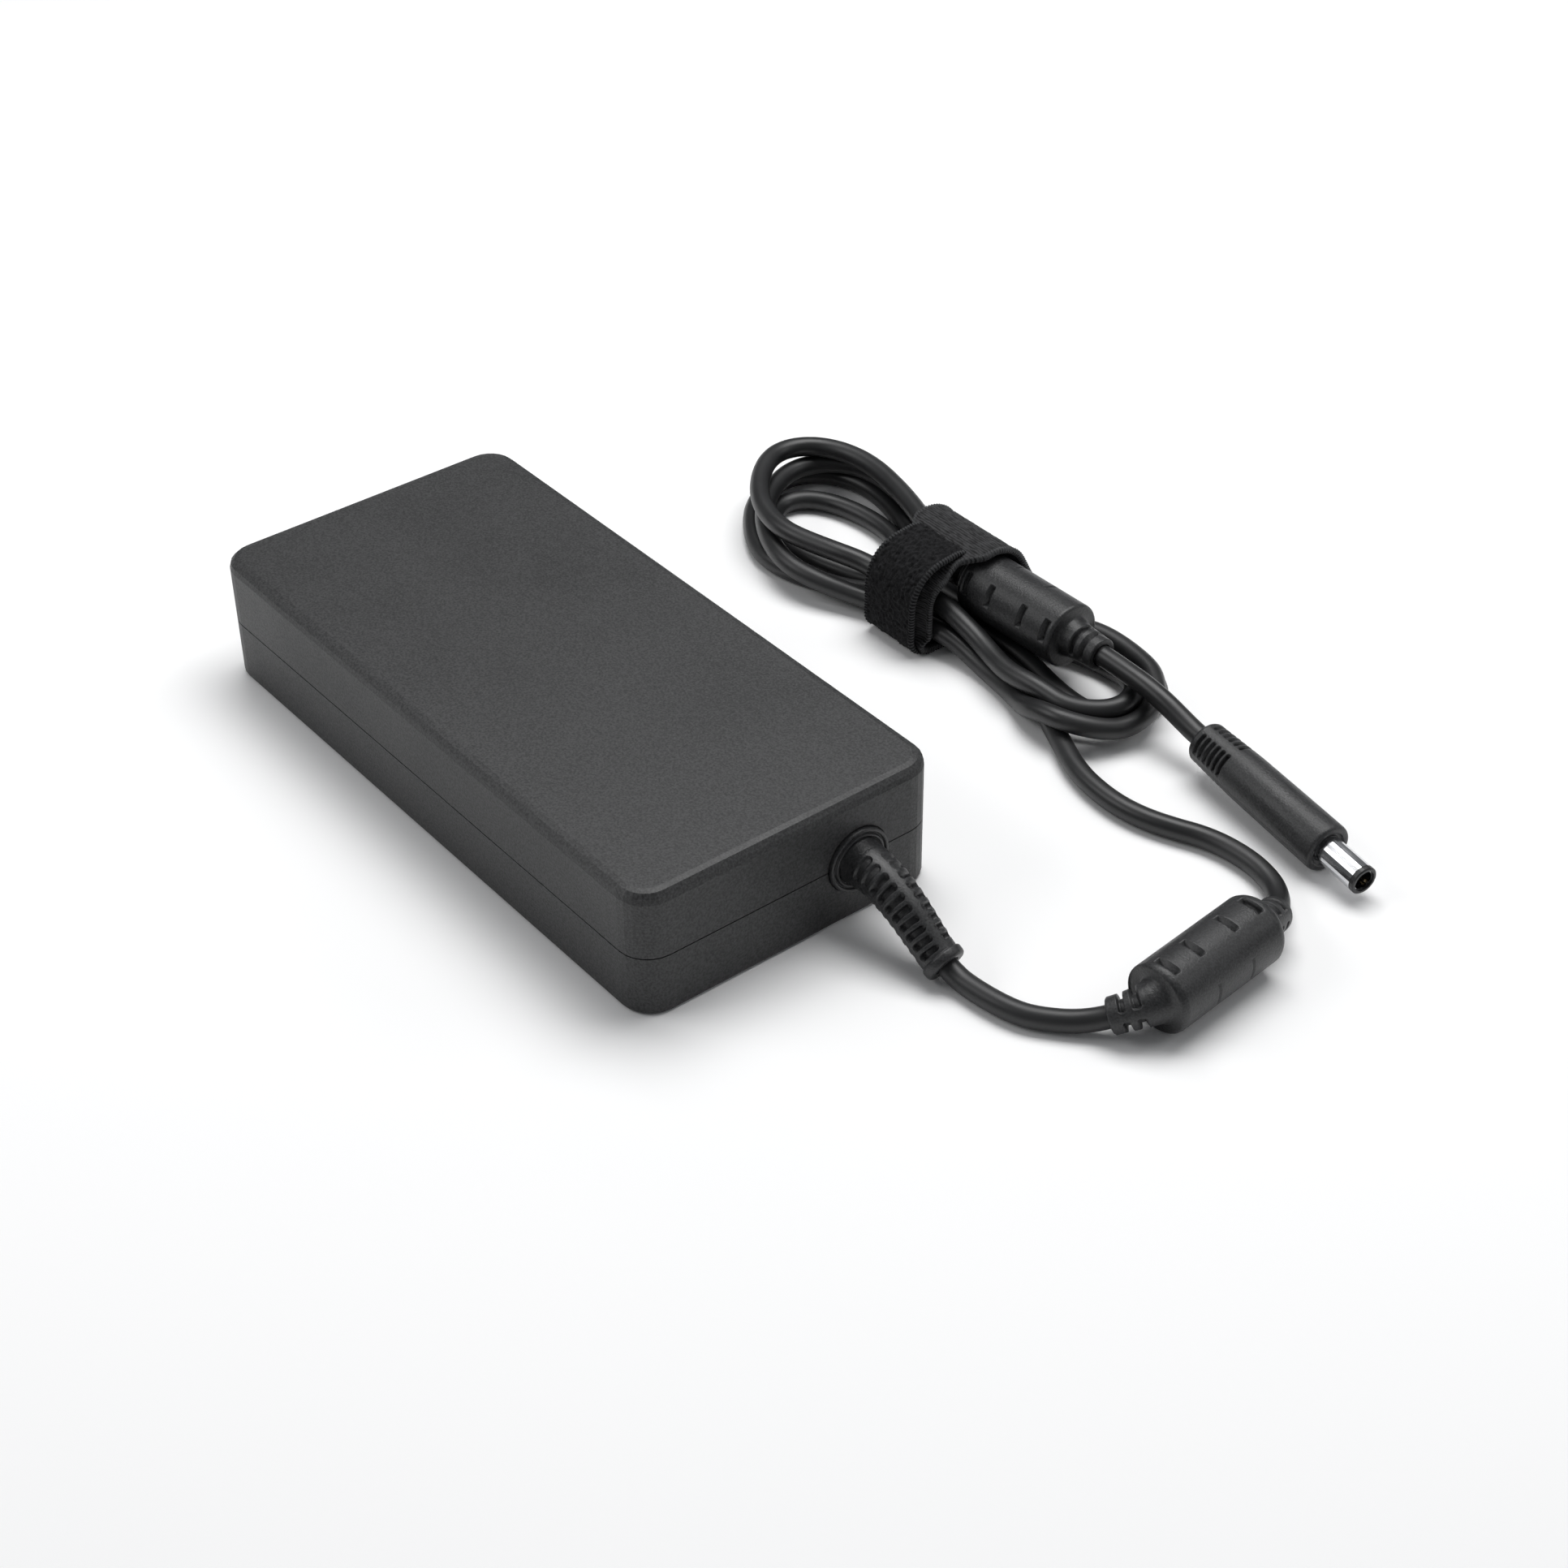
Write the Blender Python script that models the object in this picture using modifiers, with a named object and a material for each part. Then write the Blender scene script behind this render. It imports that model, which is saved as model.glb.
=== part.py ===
"""Laptop power adapter: case, mains inlet, electronics, output cord with two ferrites, hank, strap and plug.

Metres, +Z up. The origin is the centre of the case's underside, +X runs along the case to the end
where the output cord leaves, and the cord's hank lies on the +Y side.
"""

import math

import bmesh
import bpy
from mathutils import Matrix, Vector

GAP = 0.0003

CASE_LENGTH = 0.182
CASE_WIDTH = 0.086
CASE_HEIGHT = 0.0345
CASE_CORNER = 0.0081
CASE_TOP_ROUND = 0.0028
CASE_FOOT_ROUND = 0.0010
WALL = 0.0026
SEAM_Z = 0.0164
TONGUE = 0.00095
TONGUE_HEIGHT = 0.0024
POST_X = (-0.066, 0.083)
POST_Y = 0.036
POST_RADIUS = 0.0030

END_X = CASE_LENGTH / 2
INLET_Z = 0.01725
INLET_WIDTH = 0.0274
INLET_HEIGHT = 0.0196
INLET_DEPTH = 0.0190
CAVITY_WIDTH = 0.0242
CAVITY_HEIGHT = 0.0164
CAVITY_DEPTH = 0.0160
BLADE_PITCH = 0.0070
EARTH_RISE = 0.0040

BOARD_X = (-0.070, 0.086)
BOARD_WIDTH = 0.078
BOARD_Z = 0.0060
BOARD_THICKNESS = 0.0016
COMPONENT_Z = BOARD_Z + BOARD_THICKNESS + GAP
CEILING_Z = CASE_HEIGHT - WALL

CORD_RADIUS = 0.00275
BORE_RADIUS = CORD_RADIUS + GAP
EXIT = Vector((END_X, 0.0188, 0.0164))
BOOT_FLANGE_RADIUS = 0.0085
BOOT_NECK_RADIUS = 0.0050
FERRITE_RADIUS = 0.00875
FERRITE_LENGTH = 0.0345
FERRITE_BOOT_LENGTH = 0.0110
CORE_OUTER = 0.0070
CORE_INNER = 0.0034
CORE_LENGTH = 0.0280

STRAP_X = (0.0010, 0.0216)
STRAP_THICKNESS = 0.0016
TAB_X = (0.0016, 0.0196)
TAB_THICKNESS = 0.0014
# Centre and radius of the four bends of the strap's outer face, in the YZ plane.
STRAP_BENDS = (
    (0.1022, 0.0052, 0.0050),
    (0.1075, 0.0143, 0.0102),
    (0.1194, 0.0150, 0.0107),
    (0.1292, 0.0062, 0.0060),
)
TAB_ANGLES = (95.0, 180.0)
TAB_END_Y = 0.1145

LEFT_LOBE_HEIGHT = 0.0165
RIGHT_LOBE_HEIGHT = 0.0109
# Centre and radius of the bends of the hank's outline, seen from above.
LEFT_LOBE_BENDS = (
    (-0.0480, 0.1160, 0.0240),
    (-0.0260, 0.1105, 0.0235),
    (-0.0400, 0.1200, 0.0230),
    (-0.0030, 0.1010, 0.0030),
    (-0.0030, 0.1310, 0.0030),
)
RIGHT_LOBE_BENDS = (
    (0.0655, 0.1225, 0.0215),
    (0.0570, 0.1160, 0.0230),
    (0.0500, 0.1280, 0.0200),
    (0.0255, 0.1050, 0.0030),
    (0.0255, 0.1330, 0.0030),
)

PLUG_REAR = Vector((0.1028, 0.1204, 0.0092))
PLUG_FRONT = Vector((0.1492, 0.1149, 0.0065))
BARREL_LENGTH = 0.0130
BARREL_RADIUS = 0.0037

# The cord's route from the boot on the case, through the first ferrite, to the hank.
ROUTE_FROM_CASE = (
    (0.1230, 0.01945, 0.00380),
    (0.1265, 0.0197, 0.00295),
    (0.1317, 0.0201, 0.00275),
    (0.1390, 0.0213, 0.00275),
    (0.1444, 0.0232, 0.00275),
    (0.1496, 0.0270, 0.00280),
    (0.1536, 0.0306, 0.00330),
    (0.1572, 0.0343, 0.00460),
    (0.1606, 0.0382, 0.00670),
    (0.1629, 0.0414, 0.00825),
    (0.1636, 0.0440, 0.00875),
    (0.1619, 0.0600, 0.00875),
    (0.1602, 0.0765, 0.00875),
    (0.1596, 0.0806, 0.00840),
    (0.1583, 0.0856, 0.00700),
    (0.1560, 0.0905, 0.00480),
    (0.1525, 0.0950, 0.00320),
    (0.1475, 0.0986, 0.00275),
    (0.1400, 0.1007, 0.00275),
    (0.1306, 0.1006, 0.00275),
    (0.1236, 0.0989, 0.00275),
    (0.1180, 0.0964, 0.00275),
    (0.1120, 0.0940, 0.00275),
    (0.1060, 0.0925, 0.00275),
    (0.0995, 0.0920, 0.00275),
    (0.0900, 0.0930, 0.00275),
    (0.0820, 0.0954, 0.00275),
    (0.0750, 0.0986, 0.00275),
    (0.0670, 0.1024, 0.00275),
)
# Its route from the hank, through the second ferrite and over the hank's end, to the plug.
ROUTE_TO_PLUG = (
    (0.0003, 0.1190, 0.01400),
    (0.0060, 0.1193, 0.01460),
    (0.0120, 0.1196, 0.01500),
    (0.0203, 0.1196, 0.01500),
    (0.0548, 0.1202, 0.01500),
    (0.0661, 0.1204, 0.01495),
    (0.0740, 0.1205, 0.01460),
    (0.0813, 0.1205, 0.01410),
    (0.0880, 0.1206, 0.01280),
    (0.0940, 0.1207, 0.01100),
    (0.0985, 0.1206, 0.00985),
    (0.1021, 0.12048, 0.00930),
)
# The route of the boot that guides the cord out of the case and down to the floor.
ROUTE_BOOT = (
    (0.0845, 0.0188, 0.01640),
    (0.0910, 0.0188, 0.01640),
    (0.0970, 0.0188, 0.01625),
    (0.1030, 0.0188, 0.01500),
    (0.1090, 0.0188, 0.01240),
    (0.1150, 0.0189, 0.00860),
    (0.1190, 0.0191, 0.00590),
    (0.1222, 0.0194, 0.00425),
)
BOOT_RIBS = 9

MATERIALS = {
    "case_plastic": ((0.045, 0.045, 0.047), 0.62, 0.0),
    "cord_rubber": ((0.022, 0.022, 0.023), 0.45, 0.0),
    "boot_plastic": ((0.026, 0.026, 0.027), 0.55, 0.0),
    "strap_loop": ((0.012, 0.012, 0.013), 0.95, 0.0),
    "strap_hook": ((0.018, 0.018, 0.019), 0.80, 0.0),
    "bright_metal": ((0.80, 0.80, 0.81), 0.12, 1.0),
    "brass": ((0.78, 0.62, 0.32), 0.25, 1.0),
    "aluminium": ((0.74, 0.75, 0.76), 0.35, 1.0),
    "ferrite": ((0.09, 0.09, 0.095), 0.60, 0.2),
    "board": ((0.03, 0.16, 0.07), 0.50, 0.0),
    "component_black": ((0.02, 0.02, 0.022), 0.50, 0.0),
    "component_blue": ((0.04, 0.10, 0.28), 0.45, 0.0),
    "component_yellow": ((0.72, 0.52, 0.06), 0.50, 0.0),
    "winding": ((0.55, 0.25, 0.09), 0.40, 0.6),
    "insulation": ((0.75, 0.75, 0.70), 0.40, 0.0),
    "label": ((0.10, 0.10, 0.105), 0.45, 0.0),
}


def clear_scene():
    for obj in list(bpy.data.objects):
        bpy.data.objects.remove(obj, do_unlink=True)
    for name in ("laptop_power_adapter", "cutters"):
        bpy.context.scene.collection.children.link(bpy.data.collections.new(name))


def material(name):
    if name in bpy.data.materials:
        return bpy.data.materials[name]
    colour, roughness, metallic = MATERIALS[name]
    made = bpy.data.materials.new(name)
    made.use_nodes = True
    shader = made.node_tree.nodes["Principled BSDF"]
    shader.inputs["Base Color"].default_value = (*colour, 1.0)
    shader.inputs["Roughness"].default_value = roughness
    shader.inputs["Metallic"].default_value = metallic
    made.diffuse_color = (*colour, 1.0)
    return made


def place(obj, finish=None):
    """Links a part, or with no finish a cutter, and gives a part its material."""
    if finish is None:
        bpy.data.collections["cutters"].objects.link(obj)
        obj.hide_render = True
        obj.display_type = "WIRE"
        return obj
    bpy.data.collections["laptop_power_adapter"].objects.link(obj)
    obj.data.materials.append(material(finish))
    return obj


def from_bmesh(name, bm, finish, smooth=True):
    mesh = bpy.data.meshes.new(name)
    bm.to_mesh(mesh)
    bm.free()
    if smooth:
        mesh.shade_smooth()
        mesh.set_sharp_from_angle(angle=math.radians(35))
    return place(bpy.data.objects.new(name, mesh), finish)


def upright(edge):
    low, high = sorted(vert.co.z for vert in edge.verts)
    return high - low > 1e-5


def block(name, size, centre, finish=None, corner=0.0, top=0.0, foot=0.0, segments=4):
    """A box with rounded upright corners and rounded top and bottom rims."""
    bm = bmesh.new()
    bmesh.ops.create_cube(bm, size=1.0)
    bmesh.ops.scale(bm, vec=size, verts=bm.verts)
    if corner:
        edges = [edge for edge in bm.edges if upright(edge)]
        bmesh.ops.bevel(bm, geom=edges, offset=corner, segments=segments, profile=0.5, affect="EDGES")
    for width, level in ((top, size[2] / 2), (foot, -size[2] / 2)):
        if width:
            rim = [edge for edge in bm.edges if all(abs(vert.co.z - level) < 1e-6 for vert in edge.verts)]
            bmesh.ops.bevel(bm, geom=rim, offset=width, segments=3, profile=0.5, affect="EDGES")
    bmesh.ops.translate(bm, vec=centre, verts=bm.verts)
    return from_bmesh(name, bm, finish)


def cylinder(name, radius, start, end, finish=None, sides=24):
    start, end = Vector(start), Vector(end)
    bm = bmesh.new()
    bmesh.ops.create_cone(
        bm, cap_ends=True, segments=sides, radius1=radius, radius2=radius, depth=(end - start).length
    )
    turn = Vector((0, 0, 1)).rotation_difference(end - start).to_matrix().to_4x4()
    bmesh.ops.transform(bm, matrix=Matrix.Translation((start + end) / 2) @ turn, verts=bm.verts)
    return from_bmesh(name, bm, finish)


def turned(name, profile, origin, direction, finish=None, steps=24):
    """A turned piece: profile is (radius, height along direction), down the outer side and up the inner."""
    mesh = bpy.data.meshes.new(name)
    closed = profile[0][0] > 0
    edges = [(i, i + 1) for i in range(len(profile) - 1)]
    if closed:
        edges.append((len(profile) - 1, 0))
    mesh.from_pydata([(radius, 0, height) for radius, height in profile], edges, [])
    obj = bpy.data.objects.new(name, mesh)
    turn = Vector((0, 0, 1)).rotation_difference(Vector(direction)).to_matrix().to_4x4()
    obj.matrix_world = Matrix.Translation(Vector(origin)) @ turn
    screw = obj.modifiers.new("turn", "SCREW")
    screw.steps = steps
    screw.render_steps = steps
    screw.use_merge_vertices = True
    screw.merge_threshold = 0.00001
    screw.use_smooth_shade = True
    return place(obj, finish)


def outline_of(bends, spread=0.0, count=48):
    """The outline of a band pulled round several bends, moved outwards by spread."""
    points = []
    for i in range(count):
        angle = 2 * math.pi * i / count
        across, up = math.cos(angle), math.sin(angle)
        bend = max(bends, key=lambda b: b[0] * across + b[1] * up + b[2])
        reach = bend[2] + spread
        points.append((bend[0] + reach * across, bend[1] + reach * up))
    return points


def extruded(name, outline, low, high, finish=None, along="Z"):
    """A solid between two copies of an outline, which lies in the XY plane or, along X, in the YZ plane."""
    bm = bmesh.new()
    if along == "Z":
        verts = [bm.verts.new((x, y, low)) for x, y in outline]
        shift = (0, 0, high - low)
    else:
        verts = [bm.verts.new((low, y, z)) for y, z in outline]
        shift = (high - low, 0, 0)
    face = bm.faces.new(verts)
    made = bmesh.ops.extrude_face_region(bm, geom=[face])
    moved = [item for item in made["geom"] if isinstance(item, bmesh.types.BMVert)]
    bmesh.ops.translate(bm, vec=shift, verts=moved)
    bmesh.ops.recalc_face_normals(bm, faces=bm.faces)
    return from_bmesh(name, bm, finish)


def combine(obj, other, operation="DIFFERENCE"):
    boolean = obj.modifiers.new(operation.lower(), "BOOLEAN")
    boolean.operation = operation
    boolean.solver = "EXACT"
    boolean.object = other
    return obj


def smooth_route(points, spacing):
    """Points at an even spacing on a Catmull-Rom curve through the route's points."""
    ends = [Vector(p) for p in points]
    line = [2 * ends[0] - ends[1], *ends, 2 * ends[-1] - ends[-2]]
    dense = []
    for a, b, c, d in zip(line, line[1:], line[2:], line[3:]):
        for k in range(12):
            t = k / 12
            dense.append(
                0.5 * (2 * b + (c - a) * t + (2 * a - 5 * b + 4 * c - d) * t * t + (3 * b - a - 3 * c + d) * t**3)
            )
    dense.append(ends[-1])
    total = sum((q - p).length for p, q in zip(dense, dense[1:]))
    count = max(2, round(total / spacing))
    return [point_at(dense, total * i / count) for i in range(count + 1)]


def point_at(line, distance):
    for p, q in zip(line, line[1:]):
        step = (q - p).length
        if distance <= step:
            return p.lerp(q, distance / step)
        distance -= step
    return line[-1].copy()


def route_length(line):
    return sum((q - p).length for p, q in zip(line, line[1:]))


def distance_to(line, target):
    """How far along the line its nearest point to the target is."""
    nearest = min(range(len(line)), key=lambda i: (line[i] - Vector(target)).length)
    return route_length(line[: nearest + 1])


def tube(name, points, radii, finish=None, resolution=2):
    curve = bpy.data.curves.new(name, "CURVE")
    curve.dimensions = "3D"
    curve.bevel_depth = 1.0
    curve.bevel_resolution = resolution
    curve.use_fill_caps = True
    spline = curve.splines.new("POLY")
    spline.points.add(len(points) - 1)
    for knot, point, radius in zip(spline.points, points, radii):
        knot.co = (*point, 1.0)
        knot.radius = radius
    return place(bpy.data.objects.new(name, curve), finish)


def as_mesh(obj):
    """Turns a curve into a mesh with welded caps, in the same collection."""
    bpy.context.view_layer.update()
    graph = bpy.context.evaluated_depsgraph_get()
    mesh = bpy.data.meshes.new_from_object(obj.evaluated_get(graph))
    bm = bmesh.new()
    bm.from_mesh(mesh)
    bmesh.ops.remove_doubles(bm, verts=bm.verts, dist=0.000002)
    bmesh.ops.recalc_face_normals(bm, faces=bm.faces)
    bm.to_mesh(mesh)
    bm.free()
    made = bpy.data.objects.new(obj.name, mesh)
    made.matrix_world = obj.matrix_world
    for collection in obj.users_collection:
        collection.objects.link(made)
    made.hide_render = obj.hide_render
    made.display_type = obj.display_type
    name = obj.name
    bpy.data.objects.remove(obj, do_unlink=True)
    made.name = name
    return made


def case_block(name, shrink, low, high, finish=None, top=0.0, foot=0.0):
    size = (CASE_LENGTH - 2 * shrink, CASE_WIDTH - 2 * shrink, high - low)
    centre = (0, 0, (low + high) / 2)
    return block(name, size, centre, finish, CASE_CORNER - shrink, top, foot, segments=6)


def make_case():
    """Two shells that meet at the seam, with a tongue on the lower one inside the upper one."""
    half_gap = GAP / 2
    upper = case_block(
        "upper_shell", 0, SEAM_Z + half_gap, CASE_HEIGHT, "case_plastic", top=CASE_TOP_ROUND
    )
    lower = case_block("lower_shell", 0, 0, SEAM_Z - half_gap, "case_plastic", foot=CASE_FOOT_ROUND)
    cavity = case_block("case_cavity", WALL, WALL, CEILING_Z)
    rebate = case_block("seam_rebate", WALL - TONGUE - GAP, WALL, SEAM_Z + TONGUE_HEIGHT + GAP)
    tongue = case_block("seam_tongue", WALL - TONGUE, 2 * WALL, SEAM_Z + TONGUE_HEIGHT)
    combine(lower, tongue, "UNION")
    combine(lower, cavity)
    combine(upper, cavity)
    combine(upper, rebate)

    inlet_hole = block(
        "inlet_hole",
        (0.012, INLET_WIDTH + 2 * GAP, INLET_HEIGHT + 2 * GAP),
        (-END_X, 0, INLET_Z),
    )
    boot_hole = cylinder("boot_hole", BOOT_NECK_RADIUS + GAP, EXIT - Vector((0.006, 0, 0)), EXIT + Vector((0.004, 0, 0)))
    flange_recess = cylinder(
        "flange_recess", BOOT_FLANGE_RADIUS + GAP, EXIT - Vector((0.0008, 0, 0)), EXIT + Vector((0.004, 0, 0))
    )
    for shell in (upper, lower):
        for cutter in (inlet_hole, boot_hole, flange_recess):
            combine(shell, cutter)

    label_recess = block("label_recess", (0.0960, 0.0560, 0.0012), (0, 0, 0), corner=0.002)
    combine(lower, label_recess)
    block("rating_label", (0.0952, 0.0552, 0.00025), (0, 0, 0.000175), "label", corner=0.0018)
    for x in POST_X:
        for y in (-POST_Y, POST_Y):
            low, high = (x, y, WALL - 0.001), (x, y, BOARD_Z - GAP)
            combine(lower, cylinder("board_post", POST_RADIUS, low, high, sides=12), "UNION")


def make_inlet():
    """The mains inlet: a housing with a three-blade cavity, and its blades."""
    body = block(
        "inlet_housing",
        (INLET_DEPTH, INLET_WIDTH, INLET_HEIGHT),
        (-END_X + INLET_DEPTH / 2, 0, INLET_Z),
        "boot_plastic",
    )
    collar_x = -END_X + WALL + GAP
    collar = block(
        "inlet_collar", (0.0030, INLET_WIDTH + 0.0026, INLET_HEIGHT + 0.0022), (collar_x + 0.0015, 0, INLET_Z)
    )
    combine(body, collar, "UNION")
    half_width, half_height, slope = CAVITY_WIDTH / 2, CAVITY_HEIGHT / 2, 0.0042
    outline = (
        (-half_width, INLET_Z - half_height + slope),
        (-half_width + slope, INLET_Z - half_height),
        (half_width - slope, INLET_Z - half_height),
        (half_width, INLET_Z - half_height + slope),
        (half_width, INLET_Z + half_height),
        (-half_width, INLET_Z + half_height),
    )
    combine(body, extruded("inlet_cavity", outline, -END_X - 0.002, -END_X + CAVITY_DEPTH, along="X"))
    blades = (
        ("inlet_blade_line", BLADE_PITCH, -0.0015),
        ("inlet_blade_neutral", -BLADE_PITCH, -0.0015),
        ("inlet_blade_earth", 0.0, EARTH_RISE - 0.0015),
    )
    for name, y, rise in blades:
        front = -END_X + (0.0015 if name.endswith("earth") else 0.0030)
        back = -END_X + INLET_DEPTH + 0.0030
        centre = ((front + back) / 2, y, INLET_Z + rise)
        size = (back - front, 0.0020, 0.0040)
        block(name, size, centre, "brass", corner=0.0)
        slot = (INLET_DEPTH, size[1] + 2 * GAP, size[2] + 2 * GAP)
        combine(body, block(name + "_slot", slot, (-END_X + INLET_DEPTH, y, INLET_Z + rise)))


def standing(name, size, at, finish, corner=0.0, top=0.0):
    """A component that stands on the board."""
    return block(name, size, (*at, COMPONENT_Z + size[2] / 2), finish, corner, top)


def ring(name, outer, inner, height, at, finish):
    """A toroid lying on the board, with its edges rounded."""
    soft = 0.2 * height
    profile = (
        (outer - soft, height),
        (outer, height - soft),
        (outer, soft),
        (outer - soft, 0),
        (inner + soft, 0),
        (inner, soft),
        (inner, height - soft),
        (inner + soft, height),
    )
    return turned(name, profile, (*at, COMPONENT_Z), (0, 0, 1), finish, steps=20)


def make_board():
    length = BOARD_X[1] - BOARD_X[0]
    middle = sum(BOARD_X) / 2
    block(
        "circuit_board",
        (length, BOARD_WIDTH, BOARD_THICKNESS),
        (middle, 0, BOARD_Z + BOARD_THICKNESS / 2),
        "board",
        corner=0.002,
        segments=2,
    )
    plate = (0.140, 0.074, 0.0008)
    block("lower_heat_spreader", plate, (0.009, 0, WALL + GAP + 0.0004), "aluminium")
    block("insulation_sheet", (0.140, 0.076, 0.0004), (0.009, 0, WALL + 2 * GAP + 0.0010), "insulation")
    block("upper_heat_spreader", (0.160, 0.076, 0.0008), (0.004, 0, CEILING_Z - GAP - 0.0004), "aluminium")


def make_mains_side():
    """Fuse, surge and filter parts, rectifier, boost inductor and storage capacitor."""
    fuse_z = COMPONENT_Z + 0.0032
    cylinder("fuse", 0.0030, (-0.066, -0.031, fuse_z), (-0.046, -0.031, fuse_z), "insulation", 12)
    for name, x, y, radius, finish in (
        ("surge_varistor", -0.062, -0.022, 0.0050, "component_blue"),
        ("inrush_thermistor", -0.050, -0.022, 0.0055, "component_black"),
        ("safety_capacitor", 0.040, -0.036, 0.0040, "component_blue"),
    ):
        centre_z = COMPONENT_Z + radius
        cylinder(name, radius, (x - 0.0018, y, centre_z), (x + 0.0018, y, centre_z), finish, 16)
    standing("filter_capacitor", (0.018, 0.010, 0.016), (-0.057, 0.029), "component_yellow", 0.001)
    ring("common_mode_choke", 0.0095, 0.0042, 0.0110, (-0.0532, 0.008), "winding")
    standing("bridge_rectifier", (0.0040, 0.022, 0.017), (-0.0405, 0.008), "component_black")
    standing("bridge_heatsink", (0.0018, 0.028, 0.020), (-0.0370, 0.008), "aluminium")
    standing("boost_inductor", (0.026, 0.024, 0.020), (-0.021, 0.024), "winding", 0.004, 0.001)
    bulk_z = COMPONENT_Z + 0.0110
    cylinder("storage_capacitor", 0.0108, (-0.036, -0.024, bulk_z), (0.010, -0.024, bulk_z), "component_black")


def make_switching_side():
    """Heatsinks with their transistors, transformer, output rectifiers, filter and controller."""
    standing("primary_heatsink", (0.052, 0.0020, 0.021), (-0.004, -0.006), "aluminium")
    for i, x in enumerate((-0.016, 0.006)):
        standing(f"switching_transistor_{i + 1}", (0.0105, 0.0042, 0.016), (x, -0.0026), "component_black")
    core = standing("transformer_core", (0.036, 0.030, 0.0200), (0.034, 0.018), "ferrite", 0.001)
    window_z = COMPONENT_Z + 0.0100
    window = cylinder(
        "core_window", 0.0135, (0.034, 0.018, window_z - 0.0065), (0.034, 0.018, window_z + 0.0065)
    )
    leg = cylinder("core_leg", 0.0065, (0.034, 0.018, window_z - 0.0070), (0.034, 0.018, window_z + 0.0070))
    combine(core, window)
    combine(core, block("core_window_way", (0.022, 0.040, 0.0130), (0.034, 0.018, window_z)))
    combine(core, leg, "UNION")
    winding = ((0.0128, 0.0120), (0.0128, 0.0), (0.0069, 0.0), (0.0069, 0.0120))
    turned(
        "transformer_winding", winding, (0.034, 0.018, window_z - 0.0060), (0, 0, 1), "component_yellow", 24
    )
    standing("secondary_heatsink", (0.036, 0.0020, 0.021), (0.050, -0.006), "aluminium")
    for i, x in enumerate((0.040, 0.056)):
        standing(f"output_rectifier_{i + 1}", (0.0105, 0.0042, 0.016), (x, -0.0094), "component_black")
    for i, y in enumerate((-0.030, -0.018, 0.030)):
        low, high = (0.074, y, COMPONENT_Z), (0.074, y, COMPONENT_Z + 0.020)
        cylinder(f"output_capacitor_{i + 1}", 0.0050, low, high, "component_black", 16)
    ring("output_choke", 0.0080, 0.0035, 0.0090, (0.058, -0.026), "winding")
    standing("controller_board", (0.024, 0.0012, 0.018), (0.026, -0.030), "board")
    standing("optocoupler", (0.0064, 0.0048, 0.0038), (0.022, -0.018), "component_black")


def make_leads():
    """Wires from the inlet's blades to the board, and from the board to the output cord."""
    blade_end = -END_X + INLET_DEPTH + 0.0030 + 3 * GAP
    for name, y, side in (("line_wire", BLADE_PITCH, 1), ("neutral_wire", -BLADE_PITCH, -1)):
        route = (
            (blade_end, y, INLET_Z - 0.0015),
            (blade_end + 0.0012, y, INLET_Z - 0.0030),
            (blade_end + 0.0014, y + 0.0010 * side, 0.0110),
            (blade_end + 0.0012, y + 0.0020 * side, COMPONENT_Z),
        )
        points = smooth_route(route, 0.0020)
        tube(name, points, [0.0009] * len(points), "component_black")
    for name, side in (("positive_lead", 1), ("negative_lead", -1)):
        y = EXIT.y + 0.0016 * side
        route = (
            (0.0838, y, EXIT.z),
            (0.0825, y + 0.0004 * side, EXIT.z - 0.0012),
            (0.0812, y + 0.0010 * side, 0.0118),
            (0.0808, y + 0.0014 * side, COMPONENT_Z),
        )
        points = smooth_route(route, 0.0020)
        tube(name, points, [0.0010] * len(points), "component_black")


def make_boot():
    """The ribbed strain relief: a flange in the case wall, a neck, and a tapered ribbed sleeve."""
    line = smooth_route(ROUTE_BOOT, 0.0005)
    length = route_length(line)
    wall_inside = WALL + GAP
    neck = 0.0065
    flange_start, flange_end = neck - 0.0005, neck + 0.0013
    steps = [
        (0.0, 0.0068),
        (neck - wall_inside - GAP, 0.0068),
        (neck - wall_inside - GAP + 0.00002, BOOT_NECK_RADIUS),
        (flange_start, BOOT_NECK_RADIUS),
        (flange_start + 0.00002, BOOT_FLANGE_RADIUS),
        (flange_end, BOOT_FLANGE_RADIUS),
        (flange_end + 0.00002, 0.0068),
        (flange_end + 0.0020, 0.0064),
        (flange_end + 0.0040, 0.0056),
    ]
    first = flange_end + 0.0044
    pitch = (length - first) / BOOT_RIBS
    for i in range(BOOT_RIBS):
        ridge = 0.0060 - 0.0013 * i / (BOOT_RIBS - 1)
        start = first + pitch * i
        steps.append((start, ridge - 0.0009))
        steps.append((start + 0.22 * pitch, ridge))
        steps.append((start + 0.62 * pitch, ridge))
        steps.append((start + 0.84 * pitch, ridge - 0.0009))
    steps.append((length, 0.0040))
    points = [point_at(line, distance) for distance, _ in steps]
    tube("dc_boot", points, [radius for _, radius in steps], "boot_plastic", resolution=6)


def ferrite_steps(start, end):
    """(distance, radius) along the cord of an overmoulded ferrite with a ringed boot at each end."""
    boot = FERRITE_BOOT_LENGTH
    rings = ((0.0, 0.0044), (0.24, 0.0044), (0.26, 0.0037), (0.36, 0.0037), (0.38, 0.0047), (0.60, 0.0048))
    rings += ((0.62, 0.0038), (0.72, 0.0038), (0.74, 0.0052), (1.0, 0.0054))
    steps = [(start - boot + boot * part, radius) for part, radius in rings[:-1]]
    edge = 0.0007
    steps += [(start - 0.0001, 0.0054), (start, FERRITE_RADIUS - edge), (start + edge, FERRITE_RADIUS)]
    steps += [(end - edge, FERRITE_RADIUS), (end, FERRITE_RADIUS - edge), (end + 0.0001, 0.0054)]
    steps += [(end + boot - boot * part, radius) for part, radius in reversed(rings[:-1])]
    return steps


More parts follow.
